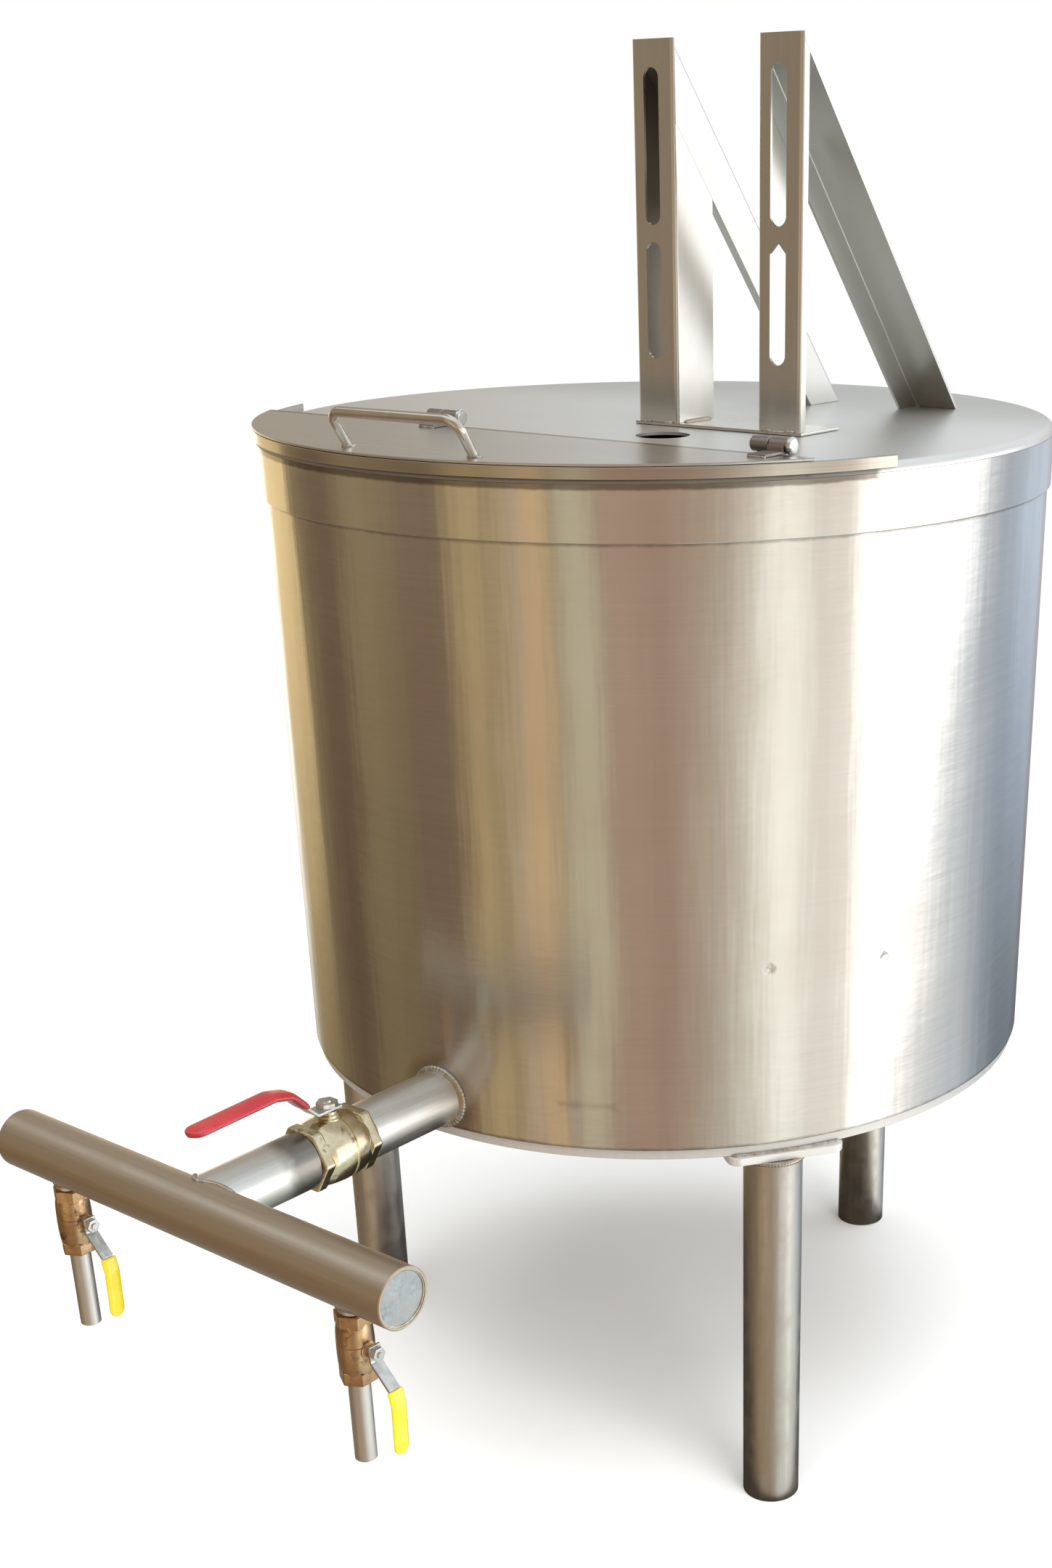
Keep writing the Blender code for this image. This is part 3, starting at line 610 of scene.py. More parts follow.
# Painted reflection: the cross pipe's steel is tinted brown, for the brown room it mirrors.
CROSS_STEEL = steel("cross_steel", (0.66, 0.57, 0.47), 0.36, (6, 420, 420), marks=2.0, shade=0.07)
# Painted reflection: the caps' steel is tinted blue, for the cool light they mirror.
CAP_STEEL = steel(
    "cap_steel", (0.56, 0.585, 0.61), 0.3, (60, 240, 240), marks=8.0, shade=0.2, grime=0.9,
)
SPOUT_STEEL = steel("spout_steel", (0.74, 0.72, 0.70), 0.42, (500, 500, 12), marks=4.0)
WELD_METAL = weld_metal()
MAIN_BRASS = brass("main_brass", (0.86, 0.78, 0.58), (0.68, 0.56, 0.36), (0.34, 0.26, 0.17), 0.2)
TAP_BRASS = brass("tap_brass", (0.72, 0.50, 0.30), (0.50, 0.31, 0.17), (0.20, 0.13, 0.09), 0.3)
LEVER_PLATE = bright_plate("lever_plate", (0.80, 0.80, 0.79), 0.2)
RED_VINYL = dipped_vinyl("red_vinyl", (0.33, 0.01, 0.02), (0.40, 0.03, 0.036))
YELLOW_VINYL = dipped_vinyl("yellow_vinyl", (0.84, 0.66, 0.005), (0.86, 0.72, 0.06))


# Finishing a piece


def to_mesh(shape, name):
    mesh = bpy.data.meshes.new(name)
    shape.to_mesh(mesh)
    shape.free()
    return mesh


def solid_mesh(made):
    """A new mesh of an object with its modifiers, or its curve's thickness, taken in."""
    bpy.context.view_layer.update()
    graph = bpy.context.evaluated_depsgraph_get()
    return bpy.data.meshes.new_from_object(made.evaluated_get(graph))


def place_piece(made, material, body, node=None):
    made.data.materials.clear()
    made.data.materials.append(material)
    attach(made, body)
    if node:
        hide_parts(node)
    return made


def piece(name, shape, material, node, body="tank", cutters=()):
    """Finishes a bmesh that was modelled about the tank's axis as one piece of the object."""
    bmesh.ops.remove_doubles(shape, verts=shape.verts, dist=TINY)
    bmesh.ops.recalc_face_normals(shape, faces=shape.faces)
    bmesh.ops.translate(shape, verts=shape.verts, vec=TANK_MIDDLE)
    made = add_object(name, to_mesh(shape, name))
    for cutter in cutters:
        cut_away(made, cutter)
    made.data.shade_smooth()
    made.data.set_sharp_from_angle(angle=radians(SMOOTH_BELOW))
    even_shading = made.modifiers.new("even_shading", "WEIGHTED_NORMAL")
    even_shading.keep_sharp = True
    return place_piece(made, material, body, node)


def cut_away(made, cutter):
    """Takes a bmesh cutter out of a piece for good, and leaves no modifier."""
    bmesh.ops.recalc_face_normals(cutter, faces=cutter.faces)
    bmesh.ops.translate(cutter, verts=cutter.verts, vec=TANK_MIDDLE)
    tool = add_object("cutter", to_mesh(cutter, "cutter"))
    step = made.modifiers.new("cut", "BOOLEAN")
    step.operation = "DIFFERENCE"
    step.solver = "EXACT"
    step.object = tool
    result = solid_mesh(made)
    made.modifiers.remove(step)
    made.data = result
    bpy.data.objects.remove(tool, do_unlink=True)


# Modelling helpers


def axis_matrix(start, end):
    """Turns local +Z to point from start to end, with its origin at start."""
    along = Vector(end) - Vector(start)
    turn = Vector((0, 0, 1)).rotation_difference(along)
    return Matrix.Translation(Vector(start)) @ turn.to_matrix().to_4x4()


def spun(points, closed, angle, steps):
    """A line of points swept round Z. A full turn is merged where it meets itself."""
    shape = bmesh.new()
    corners = [shape.verts.new(point) for point in points]
    edges = [shape.edges.new(pair) for pair in zip(corners, corners[1:])]
    if closed:
        edges.append(shape.edges.new((corners[-1], corners[0])))
    bmesh.ops.spin(
        shape,
        geom=corners + edges,
        cent=(0, 0, 0),
        axis=(0, 0, 1),
        angle=angle,
        steps=steps,
        use_merge=angle == 2 * pi,
    )
    return shape


def lathe(profile, steps=MEDIUM, closed=True, matrix=None):
    """A profile of (radius, height) points spun round Z, then placed by a matrix."""
    shape = spun([(radius, 0, height) for radius, height in profile], closed, 2 * pi, steps)
    bmesh.ops.remove_doubles(shape, verts=shape.verts, dist=TINY)
    bmesh.ops.recalc_face_normals(shape, faces=shape.faces)
    if matrix is not None:
        bmesh.ops.transform(shape, matrix=matrix, verts=shape.verts)
    return shape


def arc(middle, radius, start, end, steps):
    """Points of a circular arc, with angles in degrees."""
    angles = [radians(start + (end - start) * i / steps) for i in range(steps + 1)]
    return [(middle[0] + radius * cos(a), middle[1] + radius * sin(a)) for a in angles]


def tube(start, end, radius, wall, steps=MEDIUM, round_edge=0.0006):
    """A pipe with slightly rounded ends."""
    length = (Vector(end) - Vector(start)).length
    inner = radius - wall
    profile = [(inner, 0), (radius - round_edge, 0), (radius, round_edge)]
    profile += [(radius, length - round_edge), (radius - round_edge, length), (inner, length)]
    return lathe(profile, steps, matrix=axis_matrix(start, end))


def rod(start, end, radius, steps=MEDIUM):
    length = (Vector(end) - Vector(start)).length
    profile = [(0, 0), (radius, 0), (radius, length), (0, length)]
    return lathe(profile, steps, closed=False, matrix=axis_matrix(start, end))


def slab(corners, depth, edge=0.0, segments=2):
    """A flat outline pushed along a vector, with its edges rounded."""
    shape = bmesh.new()
    face = shape.faces.new([shape.verts.new(corner) for corner in corners])
    pushed = bmesh.ops.extrude_face_region(shape, geom=[face])
    moved = [part for part in pushed["geom"] if isinstance(part, bmesh.types.BMVert)]
    bmesh.ops.translate(shape, verts=moved, vec=depth)
    bmesh.ops.recalc_face_normals(shape, faces=shape.faces)
    if edge:
        round_edges(shape, edge, segments)
    return shape


def round_edges(shape, width, segments):
    sharp = [
        edge for edge in shape.edges
        if len(edge.link_faces) == 2 and degrees(edge.calc_face_angle()) > BEVEL_ABOVE
    ]
    bmesh.ops.bevel(
        shape,
        geom=sharp,
        offset=width,
        offset_type="OFFSET",
        affect="EDGES",
        segments=segments,
        profile=0.5,
        material=-1,
        clamp_overlap=True,
    )


def box(low, high, edge):
    outline = ((low[0], low[1]), (high[0], low[1]), (high[0], high[1]), (low[0], high[1]))
    return slab([(x, y, low[2]) for x, y in outline], (0, 0, high[2] - low[2]), edge)


def join(*shapes):
    """Several bmeshes as one, which stay separate shells."""
    whole = bmesh.new()
    for shape in shapes:
        mesh = to_mesh(shape, "part")
        whole.from_mesh(mesh)
        bpy.data.meshes.remove(mesh)
    return whole


def cap_open_ends(shape):
    rim = [edge for edge in shape.edges if edge.is_boundary]
    bmesh.ops.holes_fill(shape, edges=rim, sides=0)


def filleted(points, radius, steps):
    """A path whose corners are rounded. Points are Vectors, in order."""
    path = [points[0]]
    for before, corner, after in zip(points, points[1:], points[2:]):
        to_before = (before - corner).normalized()
        to_after = (after - corner).normalized()
        half = acos(max(-1.0, min(1.0, to_before.dot(to_after)))) / 2
        reach = radius / max(sin(half), TINY) * cos(half)
        middle = corner + (to_before + to_after).normalized() * (radius / sin(half))
        first = (corner + to_before * reach - middle).normalized()
        last = (corner + to_after * reach - middle).normalized()
        path += [middle + first.slerp(last, i / steps) * radius for i in range(steps + 1)]
    path.append(points[-1])
    return path


def heading(points, i):
    """The way a line of points runs at one of them."""
    return points[min(i + 1, len(points) - 1)] - points[max(i - 1, 0)]


def folded_outline(points, thickness, radius):
    """The closed outline of a folded sheet, whose thickness lies to the left of its points."""
    near = filleted(points, radius, 5)
    far = []
    for i, place in enumerate(near):
        ahead = heading(near, i)
        far.append(place + Vector((-ahead.y, ahead.x)).normalized() * thickness)
    return near + far[::-1]


def evenly(stops, spacing):
    """Points at equal steps along a line of stops."""
    lengths = [(b - a).length for a, b in zip(stops, stops[1:])]
    total = sum(lengths)
    count = max(2, ceil(total / spacing))
    route = []
    index, passed = 0, 0.0
    for i in range(count + 1):
        goal = total * i / count
        while index < len(lengths) - 1 and passed + lengths[index] < goal:
            passed += lengths[index]
            index += 1
        share = (goal - passed) / lengths[index] if lengths[index] else 0.0
        route.append(stops[index].lerp(stops[index + 1], min(share, 1.0)))
    return route


def new_curve(name, thickness, resolution):
    """A round bar that has no line yet."""
    curve = bpy.data.curves.new(name, "CURVE")
    curve.dimensions = "3D"
    curve.bevel_depth = thickness
    curve.bevel_resolution = resolution
    curve.use_fill_caps = True
    return curve


def add_line(curve, route, closed=False):
    spline = curve.splines.new("POLY")
    spline.points.add(len(route) - 1)
    spline.use_cyclic_u = closed
    for point, place in zip(spline.points, route):
        point.co = (*place, 1.0)
    return spline


# Welds

WELDS = {}
WELD_STEP = 0.0009
BEAD_LIFT = 0.0006
WELD_PITCH = 0.0032
WELD_LEAST = 0.86
WELD_RIPPLE = 0.2
WELD_END = 0.55
WELD_END_GROWTH = 0.15


def weld(points, bead, body="tank", closed=True, pitch=WELD_PITCH):
    """Keeps a line of weld to be laid when every piece is in place."""
    WELDS.setdefault(body, []).append((points, bead, closed, pitch))


def lay_welds():
    """Each weld is a bead whose thickness ripples with every drop of metal."""
    for body, lines in WELDS.items():
        name = f"{body}_welds"
        curve = new_curve(name, 1.0, 2)
        for points, bead, closed, pitch in lines:
            stops = [Vector(point) + TANK_MIDDLE for point in points]
            if closed:
                stops.append(stops[0])
            route = evenly(stops, WELD_STEP)
            if closed:
                route.pop()
            last = len(route) - 1
            for i, point in enumerate(add_line(curve, route, closed).points):
                phase = (i * WELD_STEP / pitch) % 1.0
                taper = 1.0 if closed else min(1.0, WELD_END + min(i, last - i) * WELD_END_GROWTH)
                ripple = WELD_LEAST + WELD_RIPPLE * sin(pi * phase) ** 0.7
                point.radius = bead * taper * ripple
        made = add_object(name, curve)
        mesh = solid_mesh(made)
        bpy.data.objects.remove(made, do_unlink=True)
        bpy.data.curves.remove(curve)
        mesh.shade_smooth()
        place_piece(add_object(name, mesh), WELD_METAL, body)


def seam_points(place, steps):
    """Points of a closed seam. Place turns the cosine and sine of each angle into a point."""
    turns = [2 * pi * i / steps for i in range(steps)]
    return [Vector(place(cos(t), sin(t))) for t in turns]


def ring(matrix, radius):
    """Points of a circle about local +Z."""
    return seam_points(lambda across, up: matrix @ Vector((radius * across, radius * up, 0)), 72)


# Tank shell


def make_wall():
    inner = TANK_RADIUS - SHEET
    edge = 0.0007
    profile = [
        (inner, WALL_LOW.z),
        (TANK_RADIUS - edge, WALL_LOW.z),
        (TANK_RADIUS, WALL_LOW.z + edge),
        (TANK_RADIUS, WALL_HIGH.z),
        (inner, WALL_HIGH.z),
    ]
    bore = rod(
        (OUTLET_X, -inner + CUT_PAST, OUTLET_Z),
        (OUTLET_X, -TANK_RADIUS - CUT_PAST, OUTLET_Z),
        PIPE_RADIUS - PIPE_WALL,
    )
    piece("wall_sheet", lathe(profile, FINE), WALL_STEEL, "shell_wall", cutters=[bore])


def make_band():
    """The folded band that stiffens the top of the wall."""
    low, high = BAND_LOW.z, BAND_HIGH.z
    edge = 0.0014
    inner = TANK_RADIUS + HAIR
    profile = [(inner, low)]
    profile += arc((BAND_RADIUS - edge, low + edge), edge, 270, 360, 4)
    profile += [(BAND_RADIUS, high), (inner, high)]
    piece("rim_band", lathe(profile, FINE), BAND_STEEL, "top_band")


def make_floor():
    """A plate whose rim is turned down."""
    low, top = FLOOR_LOW.z, FLOOR_HIGH.z
    radius = FLOOR_HIGH.x
    bend = 0.0035
    edge = 0.0006
    flat = radius - bend - 0.004
    middle = (radius - bend, top - bend)
    profile = [(0, top), (flat, top)]
    profile += arc(middle, bend, 90, 0, 6)
    profile += [(radius, low + edge), (radius - edge, low), (radius - SHEET, low)]
    profile += arc(middle, bend - SHEET, 0, 90, 2)
    profile += [(flat, top - SHEET), (0, top - SHEET)]
    dish = lathe(profile, FINE, closed=False)
    piece("floor_dish", dish, FLOOR_STEEL, "floor_plate")


def d_outline(radius, back_y, height):
    """A level circle cut off by a straight back edge."""
    half = sqrt(radius**2 - back_y**2)
    turn = degrees(atan2(back_y, half))
    return [(x, y, height) for x, y in arc((0, 0), radius, turn, -180 - turn, LARGE)]


def make_lid():
    """A plate with a rolled rim, the hatch opening and the shaft hole, and the bar below it."""
    roll = BAND_RADIUS - LID_EDGE_RADIUS
    flat = roll - 0.006
    middle = (roll, LID_TOP - LID_EDGE_RADIUS)
    profile = [(0, LID_TOP), (flat, LID_TOP)]
    profile += arc(middle, LID_EDGE_RADIUS, 90, 0, 10)
    profile += arc(middle, LID_EDGE_RADIUS - SHEET, 0, 90, 8)
    profile += [(flat, LID_TOP - SHEET), (0, LID_TOP - SHEET)]
    depth = 0.04
    low = LID_TOP - depth / 2
    opening = slab(d_outline(OPENING_RADIUS, OPENING_BACK_Y, low), (0, 0, depth))
    hole = rod((*SHAFT_HOLE, low), (*SHAFT_HOLE, low + depth), SHAFT_HOLE_RADIUS)
    sheet = lathe(profile, FINE, closed=False)
    piece("lid_sheet", sheet, LID_STEEL, "lid_plate", cutters=[opening, hole])
    bar = box(*cad("opening_stiffener"), 0.0006)
    piece("opening_bar", bar, FLOOR_STEEL, "opening_stiffener")


def make_lip():
    """The strip that carries the closed hatch, rounded along its upper edge."""
    low, high = LIP_LOW.z, LIP_HIGH.z
    inner = BAND_RADIUS + HAIR
    outer = inner + LIP_THICKNESS
    lower_edge = 0.0004
    edge = 0.001
    section = [(inner, low), (outer - lower_edge, low), (outer, low + lower_edge)]
    section += arc((outer - edge, high - edge), edge, 0, 90, 3)
    section += [(inner, high)]
    turn = Matrix.Rotation(radians(-90 - LIP_HALF_ANGLE), 3, "Z")
    points = [turn @ Vector((radius, 0, z)) for radius, z in section]
    shape = spun(points, True, radians(2 * LIP_HALF_ANGLE), LARGE)
    cap_open_ends(shape)
    piece("hatch_seat", shape, LIP_STEEL, "hatch_lip")


# Hatch

HANDLE_ANGLE = -86.6
HANDLE_HALF_WIDTH = 0.0785
HANDLE_FOOT_RADIUS = 0.402
HANDLE_OUTWARD = 0.0231
HANDLE_UPWARD = 0.0342
HANDLE_BEND = 0.014
HANDLE_ROD = 0.005
HANDLE_SUNK = 0.006

KNUCKLE_BORE = 0.004
KNUCKLE_EDGE = 0.0012
FOOT_FROM_AXIS = 0.003
WEB_FROM_AXIS = 0.0042
WEB_PAST_BARREL = 0.003
WEB_ABOVE_AXIS = 0.0012
WEB_ABOVE_FOOT = 0.0005
WEB_EDGE = 0.0014
PIN_RADIUS = 0.0036
PIN_EDGE = 0.0008
PIN_HEAD = 0.0050
PIN_DOME = 0.0032


def make_hatch():
    radius = BAND_RADIUS + HAIR + LIP_THICKNESS
    low, high = HATCH_LOW.z, HATCH_HIGH.z
    plate = slab(d_outline(radius, HATCH_HIGH.y, low), (0, 0, high - low), PLATE_EDGE)
    piece("hatch_sheet", plate, HATCH_STEEL, "hatch_plate", "hatch")


def make_handle():
    """A bent rod that leans outwards, welded to the hatch at both feet."""
    facing = radians(HANDLE_ANGLE)
    outward = Vector((cos(facing), sin(facing), 0))
    across = Vector((-sin(facing), cos(facing), 0))
    base = outward * sqrt(HANDLE_FOOT_RADIUS**2 - HANDLE_HALF_WIDTH**2)
    base.z = HATCH_HIGH.z
    lean = outward * HANDLE_OUTWARD + Vector((0, 0, HANDLE_UPWARD))
    sunk = Vector((0, 0, HANDLE_SUNK))
    first = base + across * HANDLE_HALF_WIDTH
    last = base - across * HANDLE_HALF_WIDTH
    path = filleted([first, first + lean, last + lean, last], HANDLE_BEND, 10)
    path = [first - sunk] + path + [last - sunk]
    curve = new_curve("handle_rod", HANDLE_ROD, 8)
    add_line(curve, [place + TANK_MIDDLE for place in path])
    made = add_object("handle_rod", curve)
    place_piece(made, HANDLE_STEEL, "hatch", "hatch_handle")
    for foot in (first, last):
        around_foot = Matrix.Translation(foot + Vector((0, 0, BEAD_LIFT)))
        weld(ring(around_foot, HANDLE_ROD + BEAD_LIFT), bead=0.0016, body="hatch")


def make_knuckle(side, label, body, sign, radius, axis_y, axis_z):
    """A barrel round the pin, with a web and a foot that is welded down, to one side of it."""
    node = f"hinge_{label}_knuckle_{side}"
    low, high = cad(node)
    length = high.x - low.x
    profile = [
        (KNUCKLE_BORE, 0),
        (radius - KNUCKLE_EDGE, 0),
        (radius, KNUCKLE_EDGE),
        (radius, length - KNUCKLE_EDGE),
        (radius - KNUCKLE_EDGE, length),
        (KNUCKLE_BORE, length),
    ]
    along = axis_matrix((low.x, axis_y, axis_z), (high.x, axis_y, axis_z))
    barrel = lathe(profile, SMALL, matrix=along)
    foot_end = high.y if sign > 0 else low.y
    near, far = sorted((axis_y + sign * FOOT_FROM_AXIS, foot_end))
    foot = box((low.x, near, low.z), (high.x, far, low.z + SHEET), PLATE_EDGE)
    web_end = axis_y + sign * (radius + WEB_PAST_BARREL)
    near, far = sorted((axis_y + sign * WEB_FROM_AXIS, web_end))
    web = box(
        (low.x + PLATE_EDGE, near, low.z + WEB_ABOVE_FOOT),
        (high.x - PLATE_EDGE, far, axis_z + WEB_ABOVE_AXIS),
        WEB_EDGE,
    )
    leaf = join(barrel, foot, web)
    piece(f"hinge_{label}_leaf_{side}", leaf, HINGE_STEEL, node, body)
    line = [(x, foot_end, low.z + BEAD_LIFT) for x in (low.x, high.x)]
    weld(line, bead=0.0014, body=body, closed=False)


def make_hinge(side):
    low, high = cad(f"hinge_pin_{side}")
    axis_y = (low.y + high.y) / 2
    axis_z = (low.z + high.z) / 2
    radius = cad(f"hinge_lid_knuckle_{side}")[1].z - axis_z
    make_knuckle(side, "lid", "tank", 1, radius, axis_y, axis_z)
    make_knuckle(side, "hatch", "hatch", -1, radius, axis_y, axis_z)
    length = high.x - low.x
    head = (high.z - low.z) / 2
    profile = [(0, 0), (PIN_RADIUS - PIN_EDGE, 0), (PIN_RADIUS, PIN_EDGE)]
    profile += [(PIN_RADIUS, length - PIN_HEAD), (head - PIN_EDGE, length - PIN_HEAD)]
    profile += arc((head - PIN_DOME, length - PIN_DOME), PIN_DOME, -10, 90, 6)
    profile += [(0, length)]
    along = axis_matrix((low.x, axis_y, axis_z), (high.x, axis_y, axis_z))
    pin = lathe(profile, SMALL, closed=False, matrix=along)
    piece(f"hinge_rivet_{side}", pin, LEVER_PLATE, f"hinge_pin_{side}")


# Motor brackets

POST_FRONT_Y = cad("motor_post_left")[0].y
POST_TOP = cad("motor_post_left")[1].z
BRACE_FOOT_Y = cad("motor_brace_left")[1].y
BRACE_SLOPE = (POST_TOP - LID_TOP) / (BRACE_FOOT_Y - POST_FRONT_Y)
WEB_SIDE = {"left": 1, "right": -1}
LIP_DEPTH = {"left": 0.042, "right": 0.010}
BRACE_DEPTH = {"left": 0.045, "right": 0.030}
SLOT_WIDTH = 0.019
SLOT_FROM_MIDDLE = -0.002
SLOT_HEIGHTS = ((1.191, 1.302), (1.318, 1.460))
PEAKED_SLOT = ("right", SLOT_HEIGHTS[0])
BRACE_SPARE = 0.1
BRACE_UNCUT = 0.72


def below_brace(y, depth):
    """The height at a place along Y that lies this deep below the brace's upper side."""
    return POST_TOP - BRACE_SLOPE * (y - POST_FRONT_Y) - depth * sqrt(1 + BRACE_SLOPE**2)


def web_and_far_x(side, low, high):
    """Where a bracket's web stands along X, and where its other edge is."""
    return (high.x, low.x) if WEB_SIDE[side] > 0 else (low.x, high.x)


def mark_shaded_inside(made, low, high):
    """Marks the faces within the fold of a closed-in channel, which the steel paints dark as shade
    and makes rougher.
    """
    skin = SHEET * 0.5
    marks = made.data.attributes.new(SHADED_INSIDE, "FLOAT", "FACE")
    for face, mark in zip(made.data.polygons, marks.data):
        x, y = face.center.x, face.center.y
        mark.value = float(low.x + skin < x < high.x - skin and y > low.y + skin)


def slot_outline(middle, bottom, top, peaked):
    """A slot with round ends, or with a pointed upper end."""
    end = SLOT_WIDTH / 2
    if peaked:
        shoulder = top - end * 0.9
        tip = end * 0.15
        upper = [(middle + end, shoulder), (middle + tip, top), (middle - tip, top)]
        upper += [(middle - end, shoulder)]
    else:
        upper = arc((middle, top - end), end, 0, 180, 16)
    return upper + arc((middle, bottom + end), end, 180, 360, 16)


def make_post(side):
    """A slotted channel that is open to the back, cut to fit under its brace."""
    low, high = cad(f"motor_post_{side}")
    web_x, lip_x = web_and_far_x(side, low, high)
    path = [Vector((web_x, high.y)), Vector((web_x, low.y)), Vector((lip_x, low.y))]
    path += [Vector((lip_x, low.y + LIP_DEPTH[side]))]
    if WEB_SIDE[side] < 0:
        path = path[::-1]
    outline = folded_outline(path, -SHEET, FOLD_RADIUS)
    post = slab([(p.x, p.y, low.z) for p in outline], (0, 0, high.z - low.z))
    cutters = []
    front, back, above = low.y + SHEET + HAIR, high.y + 0.02, high.z + 0.1
    outward = WEB_SIDE[side]
    for x, out, depth in ((web_x, outward, BRACE_DEPTH[side]), (lip_x, -outward, SHEET)):
        first, last = sorted((x + out * 0.01, x - out * 0.020))
        sloping = [(y, below_brace(y, depth + HAIR)) for y in (front, back)]
        corners = [(first, y, z) for y, z in (*sloping, (back, above), (front, above))]
        cutters.append(slab(corners, (last - first, 0, 0)))
    middle = (low.x + high.x) / 2 + SLOT_FROM_MIDDLE
    clear = 0.004
    for heights in SLOT_HEIGHTS:
        ends = slot_outline(middle, *heights, (side, heights) == PEAKED_SLOT)
        cutters.append(slab([(x, low.y - clear, z) for x, z in ends], (0, SHEET + clear * 2, 0)))
    node = f"motor_post_{side}"
    made = piece(f"slotted_post_{side}", post, BRACKET_STEEL, node, cutters=cutters)
    # The left post's inside is marked, so it is painted dark as shade.
    if side == "left":
        mark_shaded_inside(made, low + TANK_MIDDLE, high + TANK_MIDDLE)
    face = low.y - 0.0004
    inset, reach = 0.006, 0.018
    for start, end in (
        ((low.x + inset, face), (low.x + reach, face)),
        ((high.x - reach, face), (high.x - inset, face)),
        ((web_x, low.y + inset * 2), (web_x, high.y - inset)),
    ):
        weld([(*start, low.z), (*end, low.z)], bead=0.0022, closed=False)


def make_brace(side):
    """An angle that leans from the top of the post to the lid, with its ends cut to them."""
    low, high = cad(f"motor_brace_{side}")
    web_x, far_x = web_and_far_x(side, low, high)
    path = [Vector((far_x, 0)), Vector((web_x, 0)), Vector((web_x, -BRACE_DEPTH[side]))]
    outline = folded_outline(path, -SHEET * WEB_SIDE[side], FOLD_RADIUS)
    length = hypot(1, BRACE_SLOPE)
    along = Vector((0, 1 / length, -BRACE_SLOPE / length))
    outward = Vector((0, BRACE_SLOPE / length, 1 / length))
    start = Vector((0, POST_FRONT_Y, POST_TOP)) - along * BRACE_SPARE
    shape = slab([Vector((p.x, 0, 0)) + outward * p.y + start for p in outline], along * BRACE_UNCUT)
    for place, normal in (((0, low.y, 0), (0, -1, 0)), ((0, 0, low.z), (0, 0, -1))):
        geometry = shape.verts[:] + shape.edges[:] + shape.faces[:]
        bmesh.ops.bisect_plane(
            shape, geom=geometry, plane_co=Vector(place), plane_no=Vector(normal), clear_outer=True
        )
        cap_open_ends(shape)
    piece(f"sloping_brace_{side}", shape, BRACE_STEEL, f"motor_brace_{side}")
    inset = 0.004
    line = [(x, high.y, low.z) for x in (low.x + inset, high.x - inset)]
    weld(line, bead=0.0024, closed=False)


def make_brackets():
    strip = box(STRIP_LOW, STRIP_HIGH, PLATE_EDGE)
    piece("bracket_foot_strip", strip, BRACKET_STEEL, "bracket_base_strip")
    for side in ("left", "right"):
        make_post(side)
        make_brace(side)


# Legs

LEG_ANGLES = {"front": -34.6, "back": 85.4, "left": 205.4}
LEG_RADIUS = 0.03175
LEG_EDGE = 0.0015
SOLE = 0.005
SOLE_INSET = 0.002
PAD_EDGE = 0.0012
PAD_SEAM_LIFT = 0.0004
PAD_SEAM_INSET = 0.004
PAD_WIDTH = 0.128
PAD_DEPTH = 0.100
PAD_CORNER = 0.012
PAD_OUTER_EDGE = 0.425
PAD_SIDEWAYS = 0.008


def make_leg(side):
    """A closed tube, welded under a pad that is itself welded to the tank's floor."""
    low, high = cad(f"leg_tube_{side}")
    middle = (low + high) / 2
    inner = LEG_RADIUS - SHEET
    profile = [(0, 0), (LEG_RADIUS - LEG_EDGE - SOLE_INSET, 0)]
    profile += arc((LEG_RADIUS - LEG_EDGE, LEG_EDGE), LEG_EDGE, 270, 360, 4)
    profile += [(LEG_RADIUS, high.z), (0, high.z), (0, high.z - SHEET), (inner, high.z - SHEET)]
    profile += [(inner, SOLE), (0, SOLE)]
    place = Matrix.Translation((middle.x, middle.y, 0))
    leg = lathe(profile, LARGE, closed=False, matrix=place)
    piece(f"leg_{side}", leg, LEG_STEEL, f"leg_tube_{side}")
    top = Matrix.Translation((middle.x, middle.y, high.z - 0.0012))
    weld(ring(top, LEG_RADIUS + 0.0008), bead=0.0028)
    make_pad(side)


def make_pad(side):
    low, high = cad(f"leg_pad_{side}")
    facing = Matrix.Rotation(radians(LEG_ANGLES[side]), 4, "Z")
    inner_edge = PAD_OUTER_EDGE - PAD_DEPTH
    corner_x = PAD_OUTER_EDGE - PAD_CORNER
    first, last = PAD_SIDEWAYS - PAD_WIDTH / 2, PAD_SIDEWAYS + PAD_WIDTH / 2
    outline = [(inner_edge, first)]
    outline += arc((corner_x, first + PAD_CORNER), PAD_CORNER, 270, 360, 8)
    outline += arc((corner_x, last - PAD_CORNER), PAD_CORNER, 0, 90, 8)
    outline += [(inner_edge, last)]
    corners = [facing @ Vector((x, y, low.z)) for x, y in outline]
    pad = slab(corners, (0, 0, high.z - low.z), PAD_EDGE)
    piece(f"leg_plate_{side}", pad, PAD_STEEL, f"leg_pad_{side}")
    reach = FLOOR_HIGH.x + 0.0008
    sweep = degrees((PAD_WIDTH / 2 - PAD_SEAM_INSET) / reach)
    turn = LEG_ANGLES[side] + degrees(PAD_SIDEWAYS / reach)
    line = arc((0, 0), reach, turn - sweep, turn + sweep, 24)
    weld([(x, y, high.z + PAD_SEAM_LIFT) for x, y in line], bead=0.0026, closed=False)


# Pipes


def cross_pipe_rod(start, end):
    """What the cross pipe takes out of the pipes that meet it."""
    return rod((start, CROSS_Y, OUTLET_Z), (end, CROSS_Y, OUTLET_Z), PIPE_RADIUS + HAIR, LARGE)


def cross_pipe_rise(sideways):
    """How far the cross pipe's surface is from its axis, at a place to one side of it."""
    return sqrt(max(PIPE_RADIUS**2 - sideways**2, 0)) + BEAD_LIFT


def on_the_wall(across, up):
    """A place on the tank's wall, round the outlet pipe."""
    radius = PIPE_RADIUS + 0.0016
    x = OUTLET_X + radius * across
    return x, -sqrt(TANK_RADIUS**2 - x**2), OUTLET_Z + radius * up


